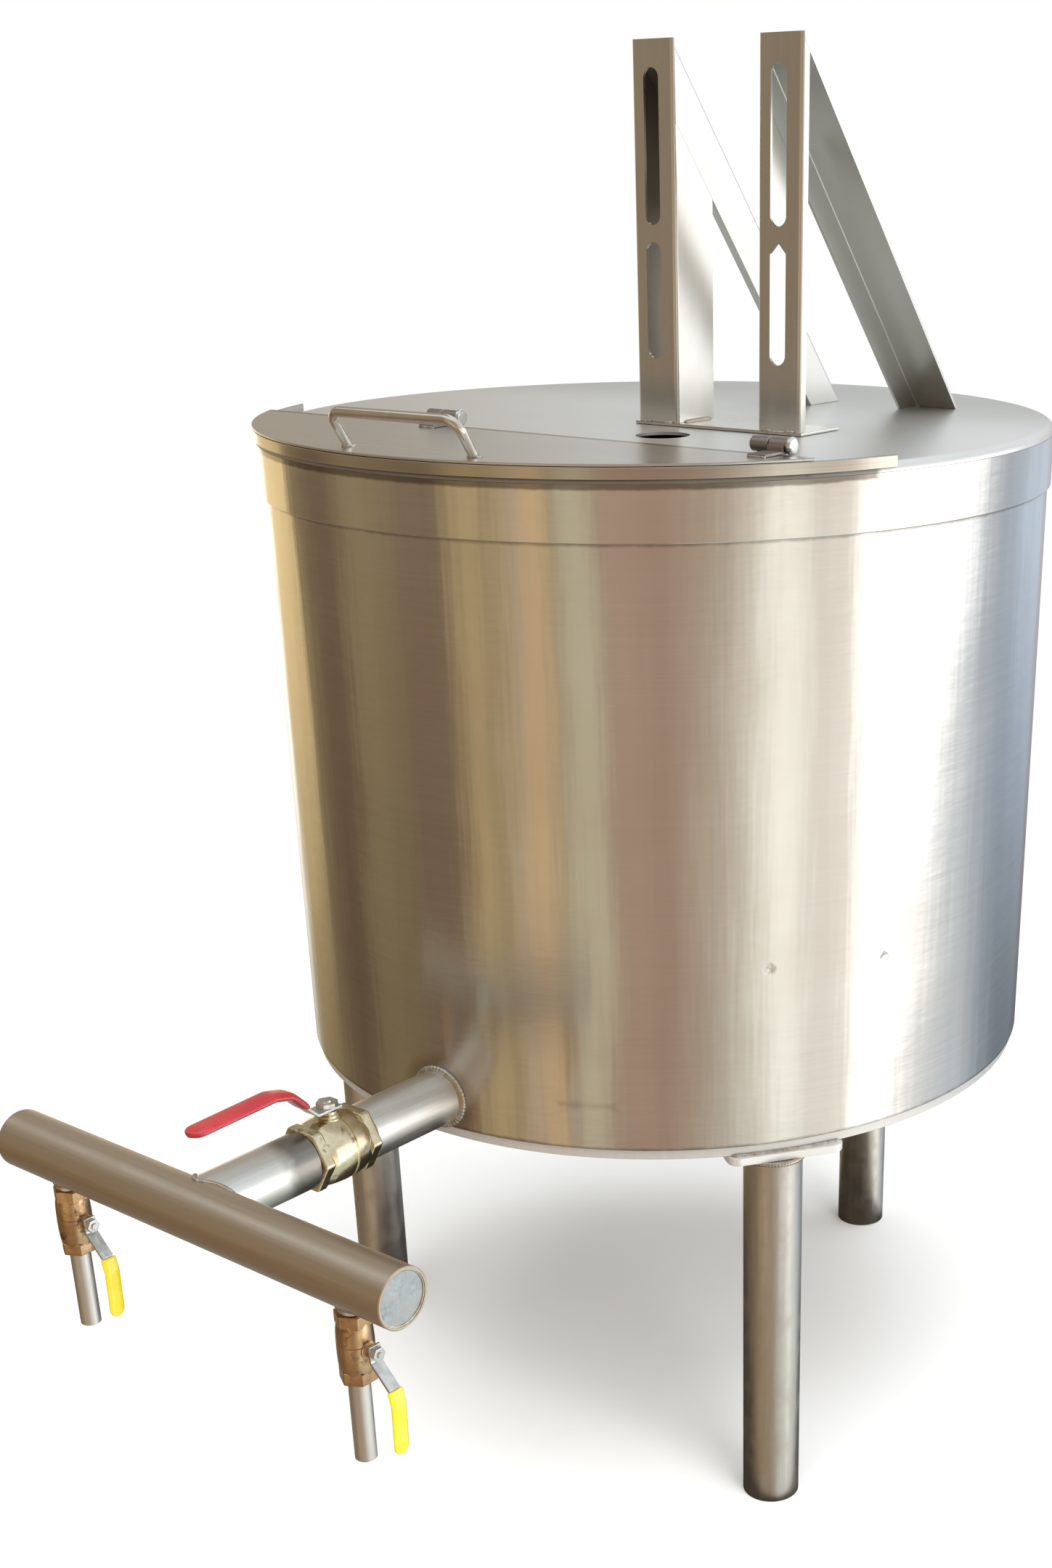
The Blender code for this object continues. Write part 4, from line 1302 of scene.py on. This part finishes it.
def behind_the_cross_pipe(across, up):
    """A place on the cross pipe's back, round the feed pipe."""
    z = PIPE_RADIUS * 0.985 * up
    return OUTLET_X + PIPE_RADIUS * 1.01 * across, CROSS_Y + cross_pipe_rise(z), OUTLET_Z + z


def make_pipes():
    """The outlet, the feed pipe after the main valve, and the cross pipe with its two caps."""
    inside = rod((0, 0, OUTLET_Z - 0.1), (0, 0, OUTLET_Z + 0.1), TANK_RADIUS + HAIR, FINE)
    stub = tube(
        (OUTLET_X, -TANK_RADIUS + CUT_PAST, OUTLET_Z),
        (OUTLET_X, OUTLET_LOW.y, OUTLET_Z),
        PIPE_RADIUS,
        PIPE_WALL,
    )
    piece("outlet_pipe", stub, PIPE_STEEL, "outlet_stub", cutters=[inside])
    weld(seam_points(on_the_wall, 96), bead=0.0036, pitch=0.0042)
    start, end = (PIPE_LOW.x, CROSS_Y, OUTLET_Z), (PIPE_HIGH.x, CROSS_Y, OUTLET_Z)
    feed_end = (OUTLET_X, cad("feed_pipe")[1].y, OUTLET_Z)
    feed_tube = tube(feed_end, (OUTLET_X, CROSS_Y, OUTLET_Z), PIPE_RADIUS, PIPE_WALL)
    across = cross_pipe_rod(PIPE_LOW.x, PIPE_HIGH.x)
    piece("feed_tube", feed_tube, PIPE_STEEL, "feed_pipe", cutters=[across])
    weld(seam_points(behind_the_cross_pipe, 120), bead=0.0026)
    cross = tube(start, end, PIPE_RADIUS, PIPE_WALL, LARGE, 0.0009)
    piece("cross_tube", cross, CROSS_STEEL, "cross_pipe")
    for side in ("left", "right"):
        low, high = cad(f"cross_pipe_cap_{side}")
        disc = rod((low.x, CROSS_Y, OUTLET_Z), (high.x, CROSS_Y, OUTLET_Z), (high.z - low.z) / 2)
        piece(f"end_disc_{side}", disc, CAP_STEEL, f"cross_pipe_cap_{side}")
        face = low.x if side == "left" else high.x
        turned = axis_matrix((face, CROSS_Y, OUTLET_Z), (face + 1, CROSS_Y, OUTLET_Z))
        weld(ring(turned, PIPE_RADIUS - PIPE_WALL - 0.0004), bead=0.0013)


# Ball valves. Shanks and grips run along (run, rise) points from the stem's axis.

MAIN_VALVE = {
    "length": 0.078,
    "belly": 0.0357,
    "waist": 0.0325,
    "hex": 0.0365,
    "hex_length": 0.014,
    "boss": 0.012,
    "boss_top": 0.042,
    "nut": 0.0115,
    "shank_width": 0.019,
    "shank": ((-0.012, 0.0425), (0.020, 0.0425), (0.036, 0.058)),
    "grip_width": 0.026,
    "grip": ((0.0363, 0.0555), (0.052, 0.0715), (0.072, 0.0765), (0.172, 0.0735)),
    "grip_thickness": 0.009,
}
TAP_VALVE = {
    "length": 0.072,
    "belly": 0.0178,
    "waist": 0.0165,
    "hex": 0.0185,
    "hex_length": 0.013,
    "boss": 0.0075,
    "boss_top": 0.0225,
    "nut": 0.0075,
    "shank_width": 0.0135,
    "shank": ((-0.008, 0.023), (0.009, 0.023), (0.032, 0.0455)),
    "grip_width": 0.0175,
    "grip": ((0.0323, 0.044), (0.045, 0.0475), (0.098, 0.0465)),
    "grip_thickness": 0.0065,
}
SHANK_THICKNESS = 0.003
SHANK_BEND = 0.006
SHANK_EDGE = 0.0007
NUT_HEIGHT = 0.006
GRIP_SIDES = 24
GRIP_STEP = 0.0015
GRIP_BEND = 0.012
GRIP_MOUTH = 0.003
SPOUT_WALL = 0.0026


def valve_frame(place, stem, flow):
    """Turns local X to the stem and local Z to the flow, at the middle of the valve."""
    across = Vector(flow).cross(Vector(stem))
    turn = Matrix((stem, across, flow)).transposed().to_4x4()
    return Matrix.Translation(place) @ turn


def along_stem(matrix):
    """Turns local Z of a valve's frame to the stem."""
    return matrix @ Matrix.Rotation(radians(90), 4, "Y")


def hex_nut(matrix, start, end, radius, chamfer, steps):
    """A six-sided nut along local Z, with its corners turned off."""
    nut = bmesh.new()
    bmesh.ops.create_cone(
        nut,
        cap_ends=True,
        segments=6,
        radius1=radius,
        radius2=radius,
        depth=end - start,
        matrix=matrix @ Matrix.Translation((0, 0, (start + end) / 2)),
    )
    round_edges(nut, chamfer, steps)
    return nut


def valve_profile(half, shoulder, waist, belly):
    """A bulging body between two necks, with a groove where its two halves are screwed together."""
    groove = belly * 0.045
    split_z = -shoulder * 0.2
    rim = waist + (belly - waist) * 0.97
    neck = half - 0.002
    profile = [(0, -neck), (waist * 0.9, -neck), (waist, -shoulder)]
    steps = 16
    for i in range(steps + 1):
        share = i / steps
        z = -shoulder + 2 * shoulder * share
        if abs(z - split_z) < groove * 1.5:
            continue
        if profile[-1][1] < split_z < z:
            profile += [(rim, split_z - groove), (rim - groove, split_z - groove * 0.5)]
            profile += [(rim - groove, split_z + groove * 0.5), (rim, split_z + groove)]
        profile.append((waist + (belly - waist) * sin(pi * share) ** 0.55, z))
    return profile + [(waist, shoulder), (waist * 0.9, neck), (0, neck)]


def make_valve(name, node, sizes, matrix, material):
    """The valve's body, a hexagon at each end, and the boss round its stem."""
    half = sizes["length"] / 2
    shoulder = half - sizes["hex_length"]
    belly = sizes["belly"]
    profile = valve_profile(half, shoulder, sizes["waist"], belly)
    parts = [lathe(profile, MEDIUM, closed=False, matrix=matrix)]
    for first, last in ((-half, -shoulder), (shoulder, half)):
        parts.append(hex_nut(matrix, first, last, sizes["hex"], sizes["hex"] * 0.075, 3))
    boss = sizes["boss"]
    top = sizes["boss_top"]
    boss_profile = [
        (0, belly * 0.5),
        (boss * 1.15, belly * 0.5),
        (boss * 1.15, belly * 0.97),
        (boss, belly),
        (boss, top - 0.004),
        (boss * 0.86, top - 0.003),
        (boss * 0.86, top),
        (0, top),
    ]
    parts.append(lathe(boss_profile, SMALL, closed=False, matrix=along_stem(matrix)))
    piece(name, join(*parts), material, node)


def bent_strip(path, width, matrix):
    """The lever's shank, bent along (run, rise) points with its underside on them."""
    outline = folded_outline([Vector(place) for place in path], SHANK_THICKNESS, SHANK_BEND)
    corners = [matrix @ Vector((p.y, -width / 2, p.x)) for p in outline]
    return slab(corners, matrix.to_3x3() @ Vector((0, width, 0)), SHANK_EDGE, 3)


def squarish(value, power):
    """A sine or cosine raised to a power below 1, with its sign kept."""
    return abs(value) ** power * (1 if value > 0 else -1)


def dipped_grip(path, thickness, width, matrix):
    """A soft-edged sleeve along (run, rise) points, round where the lever ends."""
    route = evenly(filleted([Vector(place) for place in path], GRIP_BEND, 8), GRIP_STEP)
    shape = bmesh.new()
    rings = []
    for i, place in enumerate(route):
        ahead = heading(route, i).normalized()
        up = Vector((-ahead.y, ahead.x))
        near_end = max(0.0, 1 - (route[-1] - place).length / (width / 2))
        narrow = sqrt(max(1 - near_end**2, 0.02))
        near_start = max(0.0, 1 - (place - route[0]).length / GRIP_MOUTH)
        thin = (1 - 0.18 * near_start**2) * (1 - 0.45 * near_end**3)
        loop = []
        for j in range(GRIP_SIDES):
            t = 2 * pi * j / GRIP_SIDES
            across = squarish(cos(t), 0.75) * width / 2 * narrow
            off = squarish(sin(t), 0.95) * thickness / 2 * thin
            middle = place + up * (thickness / 2 + off)
            loop.append(shape.verts.new(matrix @ Vector((middle.y, across, middle.x))))
        rings.append(loop)
    for before, after in zip(rings, rings[1:]):
        for j in range(GRIP_SIDES):
            following = (j + 1) % GRIP_SIDES
            shape.faces.new((before[j], before[following], after[following], after[j]))
    shape.faces.new(rings[0])
    shape.faces.new(rings[-1][::-1])
    return shape


def make_lever(name, body, sizes, matrix, grip_material):
    """A plated strip on the stem with its nut and bolt end, and the dipped grip."""
    shank = bent_strip(sizes["shank"], sizes["shank_width"], matrix)
    stem = along_stem(matrix)
    core = sizes["nut"]
    base = sizes["shank"][0][1] + SHANK_THICKNESS
    top = base + NUT_HEIGHT
    nut = hex_nut(stem, base, top - 0.0005, core, SHANK_EDGE, 2)
    profile = [(0, base), (core * 0.5, base), (core * 0.5, top - 0.0012)]
    profile += [(core * 0.4, top + 0.0012), (0, top + 0.0012)]
    bolt = lathe(profile, SMALL, closed=False, matrix=stem)
    strip = join(shank, nut, bolt)
    piece(f"{name}_strip", strip, LEVER_PLATE, f"{name}_lever_shank", body)
    grip = dipped_grip(sizes["grip"], sizes["grip_thickness"], sizes["grip_width"], matrix)
    made = piece(f"{name}_grip", grip, grip_material, f"{name}_lever_grip", body)
    made.visible_glossy = False


def make_main_valve():
    low, high = cad("main_valve_body")
    matrix = valve_frame((OUTLET_X, (low.y + high.y) / 2, OUTLET_Z), (0, 0, 1), (0, -1, 0))
    make_valve("main_ball_valve", "main_valve_body", MAIN_VALVE, matrix, MAIN_BRASS)
    make_lever("main", "main_lever", MAIN_VALVE, matrix, RED_VINYL)


def make_tap(side):
    """A small valve that hangs from the cross pipe by a nipple, with its spout below."""
    spout_low, spout_high = cad(f"tap_spout_{side}")
    body_low, body_high = cad(f"tap_valve_body_{side}")
    x = (spout_low.x + spout_high.x) / 2
    matrix = valve_frame((x, CROSS_Y, (body_low.z + body_high.z) / 2), (1, 0, 0), (0, 0, -1))
    node = f"tap_valve_body_{side}"
    make_valve(f"{side}_tap_valve", node, TAP_VALVE, matrix, TAP_BRASS)
    make_lever(f"tap_{side}", f"tap_{side}_lever", TAP_VALVE, matrix, YELLOW_VINYL)
    low, high = cad(f"tap_nipple_{side}")
    radius = (high.x - low.x) / 2
    nipple = tube((x, CROSS_Y, low.z), (x, CROSS_Y, OUTLET_Z - PIPE_RADIUS / 2), radius, PIPE_WALL)
    across = cross_pipe_rod(x - 0.05, x + 0.05)
    node = f"tap_nipple_{side}"
    piece(f"{side}_tap_socket", nipple, PIPE_STEEL, node, cutters=[across])
    around = radius * 1.02

    def under_the_cross_pipe(along, sideways):
        y = around * sideways
        return x + around * along, CROSS_Y + y, OUTLET_Z - cross_pipe_rise(y)

    weld(seam_points(under_the_cross_pipe, 72), bead=0.0022)
    radius = (spout_high.x - spout_low.x) / 2
    spout = tube((x, CROSS_Y, spout_low.z), (x, CROSS_Y, spout_high.z), radius, SPOUT_WALL, 48)
    piece(f"{side}_tap_spout", spout, SPOUT_STEEL, f"tap_spout_{side}")


# Light, in screen colours from 0 to 255

UMBER = (104, 85, 67)
OLIVE = (130, 115, 86)
DUSK = (116, 97, 78)
SAND = (172, 152, 112)
PEACH = (197, 168, 128)
MOSS = (150, 136, 108)
STONE = (178, 170, 146)
MAUVE = (160, 136, 119)
TAUPE = (168, 153, 136)
LINEN = (212, 205, 192)
CREAM = (255, 253, 243)
PALE = (226, 219, 210)
BLUE_GREY = (184, 192, 200)
SLATE = (140, 151, 164)
HAZE = (168, 154, 136)
FLOOR_BROWN = (136, 118, 101)
FLOOR_GREY = (178, 186, 180)
COOL_CEILING = (232, 238, 240)
WARM_CEILING = (168, 159, 145)

# What stands round the tank, by compass angle from +X, as its wall mirrors it
ROOM = (
    (-178, OLIVE), (-167, UMBER), (-158, UMBER), (-151, OLIVE), (-134, OLIVE), (-128, DUSK),
    (-114, DUSK), (-106, SAND), (-101.5, SAND), (-99.5, OLIVE), (-97.5, SAND), (-92, TAUPE),
    (-89, PEACH), (-84, PEACH), (-81, MOSS), (-77, STONE), (-69, STONE), (-65, MAUVE),
    (-46, MAUVE), (-38, TAUPE), (-25, LINEN), (-17, CREAM), (-9, CREAM), (-5, PALE), (4, PALE),
    (52, BLUE_GREY), (70, SLATE), (95, SLATE), (125, DUSK), (143, SAND), (150, CREAM),
    (160, SAND),
)

# Gains, and where things change, as compass angles or as heights on the sky's unit ball
ROOM_GAIN = 1.5
HORIZON_GAIN = 0.72
HORIZON_HEIGHTS = (-0.12, 0.02)
HAZE_HEIGHTS = (-0.14, 0.03)
HAZE_STRENGTH = 0.6
LEFT_SIDE_TO = (-118, -108)
LOW_LEFT_HEIGHTS = (-0.36, -0.2)
LOW_LEFT_LOSS = 0.28
RIGHT_SIDE_FROM = (60, 85)
RIGHT_SIDE_HEIGHTS = (-0.37, -0.15)
RIGHT_SIDE_CHANGE = (-0.5, 0.75)
FLOOR_HEIGHTS = (-0.53, -0.43)
GREY_FLOOR_FROM = (-52, -24)
STREAKS = 0.16
STREAKS_ROUND = 9.0
WARM_CEILING_FROM = (127, 137)
CEILING_TURNS_AT_Y = (0.25, -0.25)
CEILING_EDGE = (0.02, 0.62)
CEILING_SOFTNESS = 0.14
WINDOW_FROM = (4, 13)
WINDOW_TO = (47, 58)
WINDOW_SLANT = 100
WINDOW_LEVEL = -0.156
WINDOW_LEAN_LIMIT = 16
WINDOW_TOP = (0.12, 0.3)
WINDOW_TINT = (1.0, 0.99, 0.97)
WINDOW_GAIN = 1.3
WINDOW_BRIGHTENS = (-0.06, 0.2)
WINDOW_TOP_GAIN = 1.3
BACKDROP = (1.0, 1.0, 1.0)


def linear(screen):
    """A screen colour as light."""
    parts = []
    for value in screen:
        share = value / 255
        parts.append(share / 12.92 if share <= 0.04045 else ((share + 0.055) / 1.055) ** 2.4)
    return tuple(parts)


def by_angle(tree, turn, angles, to_low=0.0, to_high=1.0, smooth=True):
    """A change between two compass angles, in degrees."""
    return remap(tree, turn, *(radians(angle) for angle in angles), to_low, to_high, smooth)


def room_colours(tree, turn):
    ramp = add_node(tree, "ShaderNodeValToRGB")
    stops = ramp.color_ramp.elements
    for number, (angle, screen) in enumerate(ROOM):
        position = (angle + 180) / 360
        if number < 2:
            stop = stops[number]
            stop.position = position
        else:
            stop = stops.new(position)
        stop.color = (*linear(screen), 1.0)
    connect(tree, plus(tree, math_node(tree, "DIVIDE", turn, 2 * pi), 0.5), ramp.inputs[0])
    return ramp.outputs["Color"]


def walls_and_floor(tree, turn, height):
    """The room's walls with upright streaks, hazier and dimmer above, and the floor below them."""
    haze = remap(tree, height, *HAZE_HEIGHTS, 0.0, HAZE_STRENGTH)
    walls = mix_colour(tree, haze, room_colours(tree, turn), linear(HAZE))
    gain = remap(tree, height, *HORIZON_HEIGHTS, ROOM_GAIN, ROOM_GAIN * HORIZON_GAIN)
    left_side = by_angle(tree, turn, LEFT_SIDE_TO, 1.0, 0.0, smooth=False)
    low_left = times(tree, left_side, remap(tree, height, *LOW_LEFT_HEIGHTS, LOW_LEFT_LOSS, 0.0))
    gain = times(tree, gain, minus(tree, 1.0, low_left))
    right_side = by_angle(tree, turn, RIGHT_SIDE_FROM)
    change = remap(tree, height, *RIGHT_SIDE_HEIGHTS, *RIGHT_SIDE_CHANGE)
    gain = times(tree, gain, plus(tree, 1.0, times(tree, right_side, change)))
    grey = by_angle(tree, turn, GREY_FLOOR_FROM)
    ground = mix_colour(tree, grey, linear(FLOOR_BROWN), linear(FLOOR_GREY))
    below = remap(tree, height, *FLOOR_HEIGHTS, 1.0, 0.0, smooth=True)
    room = mix_colour(tree, below, walls, ground)
    unrolled = combine(tree, X=times(tree, turn, STREAKS_ROUND), Y=height)
    streak = remap(tree, noise(tree, unrolled, 1.0, 4.0, 0.65), 0.3, 0.7, 1 - STREAKS, 1 + STREAKS)
    return vector_math(tree, "SCALE", room, times(tree, gain, streak))


def with_ceiling(tree, turn, height, y, walls):
    """A pale ceiling, which is warm at the back left and comes lowest at the back."""
    warm = by_angle(tree, turn, WARM_CEILING_FROM)
    ceiling = mix_colour(tree, warm, linear(COOL_CEILING), linear(WARM_CEILING))
    front = remap(tree, y, *CEILING_TURNS_AT_Y, smooth=True)
    edge = remap(tree, front, 0.0, 1.0, *CEILING_EDGE)
    above = remap(tree, minus(tree, height, edge), 0.0, CEILING_SOFTNESS, smooth=True)
    return mix_colour(tree, above, walls, ceiling)


def window_glow(tree, turn, height):
    """A bright window whose far side leans with height."""
    opens = by_angle(tree, turn, WINDOW_FROM)
    slant = times(tree, minus(tree, height, WINDOW_LEVEL), radians(WINDOW_SLANT))
    slant = math_node(tree, "MINIMUM", slant, radians(WINDOW_LEAN_LIMIT))
    closes = by_angle(tree, minus(tree, turn, slant), WINDOW_TO, 1.0, 0.0)
    top = remap(tree, height, *WINDOW_TOP, 1.0, 0.0, smooth=True)
    window = times(tree, times(tree, opens, closes), top)
    pane = mix_colour(tree, window, (0.0, 0.0, 0.0), WINDOW_TINT)
    brighter = remap(tree, height, *WINDOW_BRIGHTENS, 1.0, WINDOW_TOP_GAIN)
    return vector_math(tree, "SCALE", vector_math(tree, "SCALE", pane, WINDOW_GAIN), brighter)


def make_world():
    """What the steel mirrors, with a plain white backdrop where the camera sees past the tank."""
    world = bpy.data.worlds.new("studio")
    bpy.context.scene.world = world
    world.use_nodes = True
    tree = world.node_tree
    tree.nodes.clear()
    x, y, height = split(tree, add_node(tree, "ShaderNodeTexCoord").outputs["Generated"])
    turn = math_node(tree, "ARCTAN2", y, x)
    room = with_ceiling(tree, turn, height, y, walls_and_floor(tree, turn, height))
    mirrored = vector_math(tree, "ADD", room, window_glow(tree, turn, height))
    seen = add_node(tree, "ShaderNodeLightPath").outputs["Is Camera Ray"]
    background = add_node(tree, "ShaderNodeBackground")
    feed(tree, background, Color=mix_colour(tree, seen, mirrored, BACKDROP))
    result = add_node(tree, "ShaderNodeOutputWorld")
    feed(tree, result, Surface=background.outputs[0])


def area_light(name, place, target, size, power):
    """A soft light that lights the matt surfaces, and isn't seen in the steel."""
    light = bpy.data.lights.new(name, "AREA")
    light.shape = "RECTANGLE"
    light.size, light.size_y = size
    light.energy = power
    made = add_object(name, light)
    made.location = Vector(place) + TANK_MIDDLE
    facing = Vector(target) - Vector(place)
    made.rotation_euler = facing.to_track_quat("-Z", "Y").to_euler()
    made.visible_camera = False
    made.visible_glossy = False


def make_lights():
    area_light("overhead", (0.4, -0.6, 4.2), (0, 0, 0.6), (4.5, 4.5), 210)
    area_light("side", (3.2, -1.2, 2.2), (0, 0, 0.8), (2.0, 2.5), 70)


# Ground

GROUND_SIZE = 60
GROUND_FADE = (0.9, 2.4)
SHADE_RADIUS = 0.44
SHADE_HEIGHT = 0.001


def pale_floor():
    """A matt floor that turns to the backdrop's white away from the tank."""
    made, tree, shader, place = start_material("pale_floor", 0.85, 0.0)
    feed(tree, shader, Base_Color=(0.9, 0.9, 0.9), Specular_IOR_Level=0.1)
    far = remap(tree, vector_math(tree, "LENGTH", place), *GROUND_FADE, smooth=True)
    white = add_node(tree, "ShaderNodeEmission")
    both = add_node(tree, "ShaderNodeMixShader")
    for number, value in enumerate((far, shader.outputs[0], white.outputs[0])):
        connect(tree, value, both.inputs[number])
    feed(tree, tree.nodes["Material Output"], Surface=both.outputs[0])
    return made


# Painted shadow: a near-black colour for the floor in the tank's shadow, seen only in reflections.
def painted_floor_shadow():
    made, tree, shader, place = start_material("painted_floor_shadow", 0.9, 0.0)
    feed(tree, shader, Base_Color=(0.05, 0.042, 0.034), Specular_IOR_Level=0.0)
    return made


def stage_piece(name, shape, material, hidden_from):
    made = add_object(name, to_mesh(shape, name))
    made.data.materials.append(material)
    for ray in hidden_from:
        setattr(made, f"visible_{ray}", False)


def make_ground():
    """A plain pale floor that runs into the backdrop."""
    shape = bmesh.new()
    bmesh.ops.create_grid(shape, x_segments=1, y_segments=1, size=GROUND_SIZE)
    stage_piece("ground", shape, pale_floor(), ("glossy",))


def make_floor_shade():
    """The dim floor under the tank, a painted shadow that only the legs and the tank's underside
    mirror.
    """
    shape = bmesh.new()
    bmesh.ops.create_circle(shape, cap_ends=True, radius=SHADE_RADIUS, segments=LARGE)
    bmesh.ops.translate(shape, verts=shape.verts, vec=TANK_MIDDLE + Vector((0, 0, SHADE_HEIGHT)))
    stage_piece("floor_shade", shape, painted_floor_shadow(), ("camera", "diffuse", "shadow"))


def main():
    bpy.context.scene.view_settings.view_transform = "Standard"
    make_camera()
    make_world()
    make_lights()
    make_ground()
    make_floor_shade()
    make_wall()
    make_band()
    make_floor()
    make_lid()
    make_lip()
    make_hatch()
    make_handle()
    for side in ("left", "right"):
        make_hinge(side)
        make_tap(side)
    make_brackets()
    for side in LEG_ANGLES:
        make_leg(side)
    make_pipes()
    make_main_valve()
    lay_welds()


main()
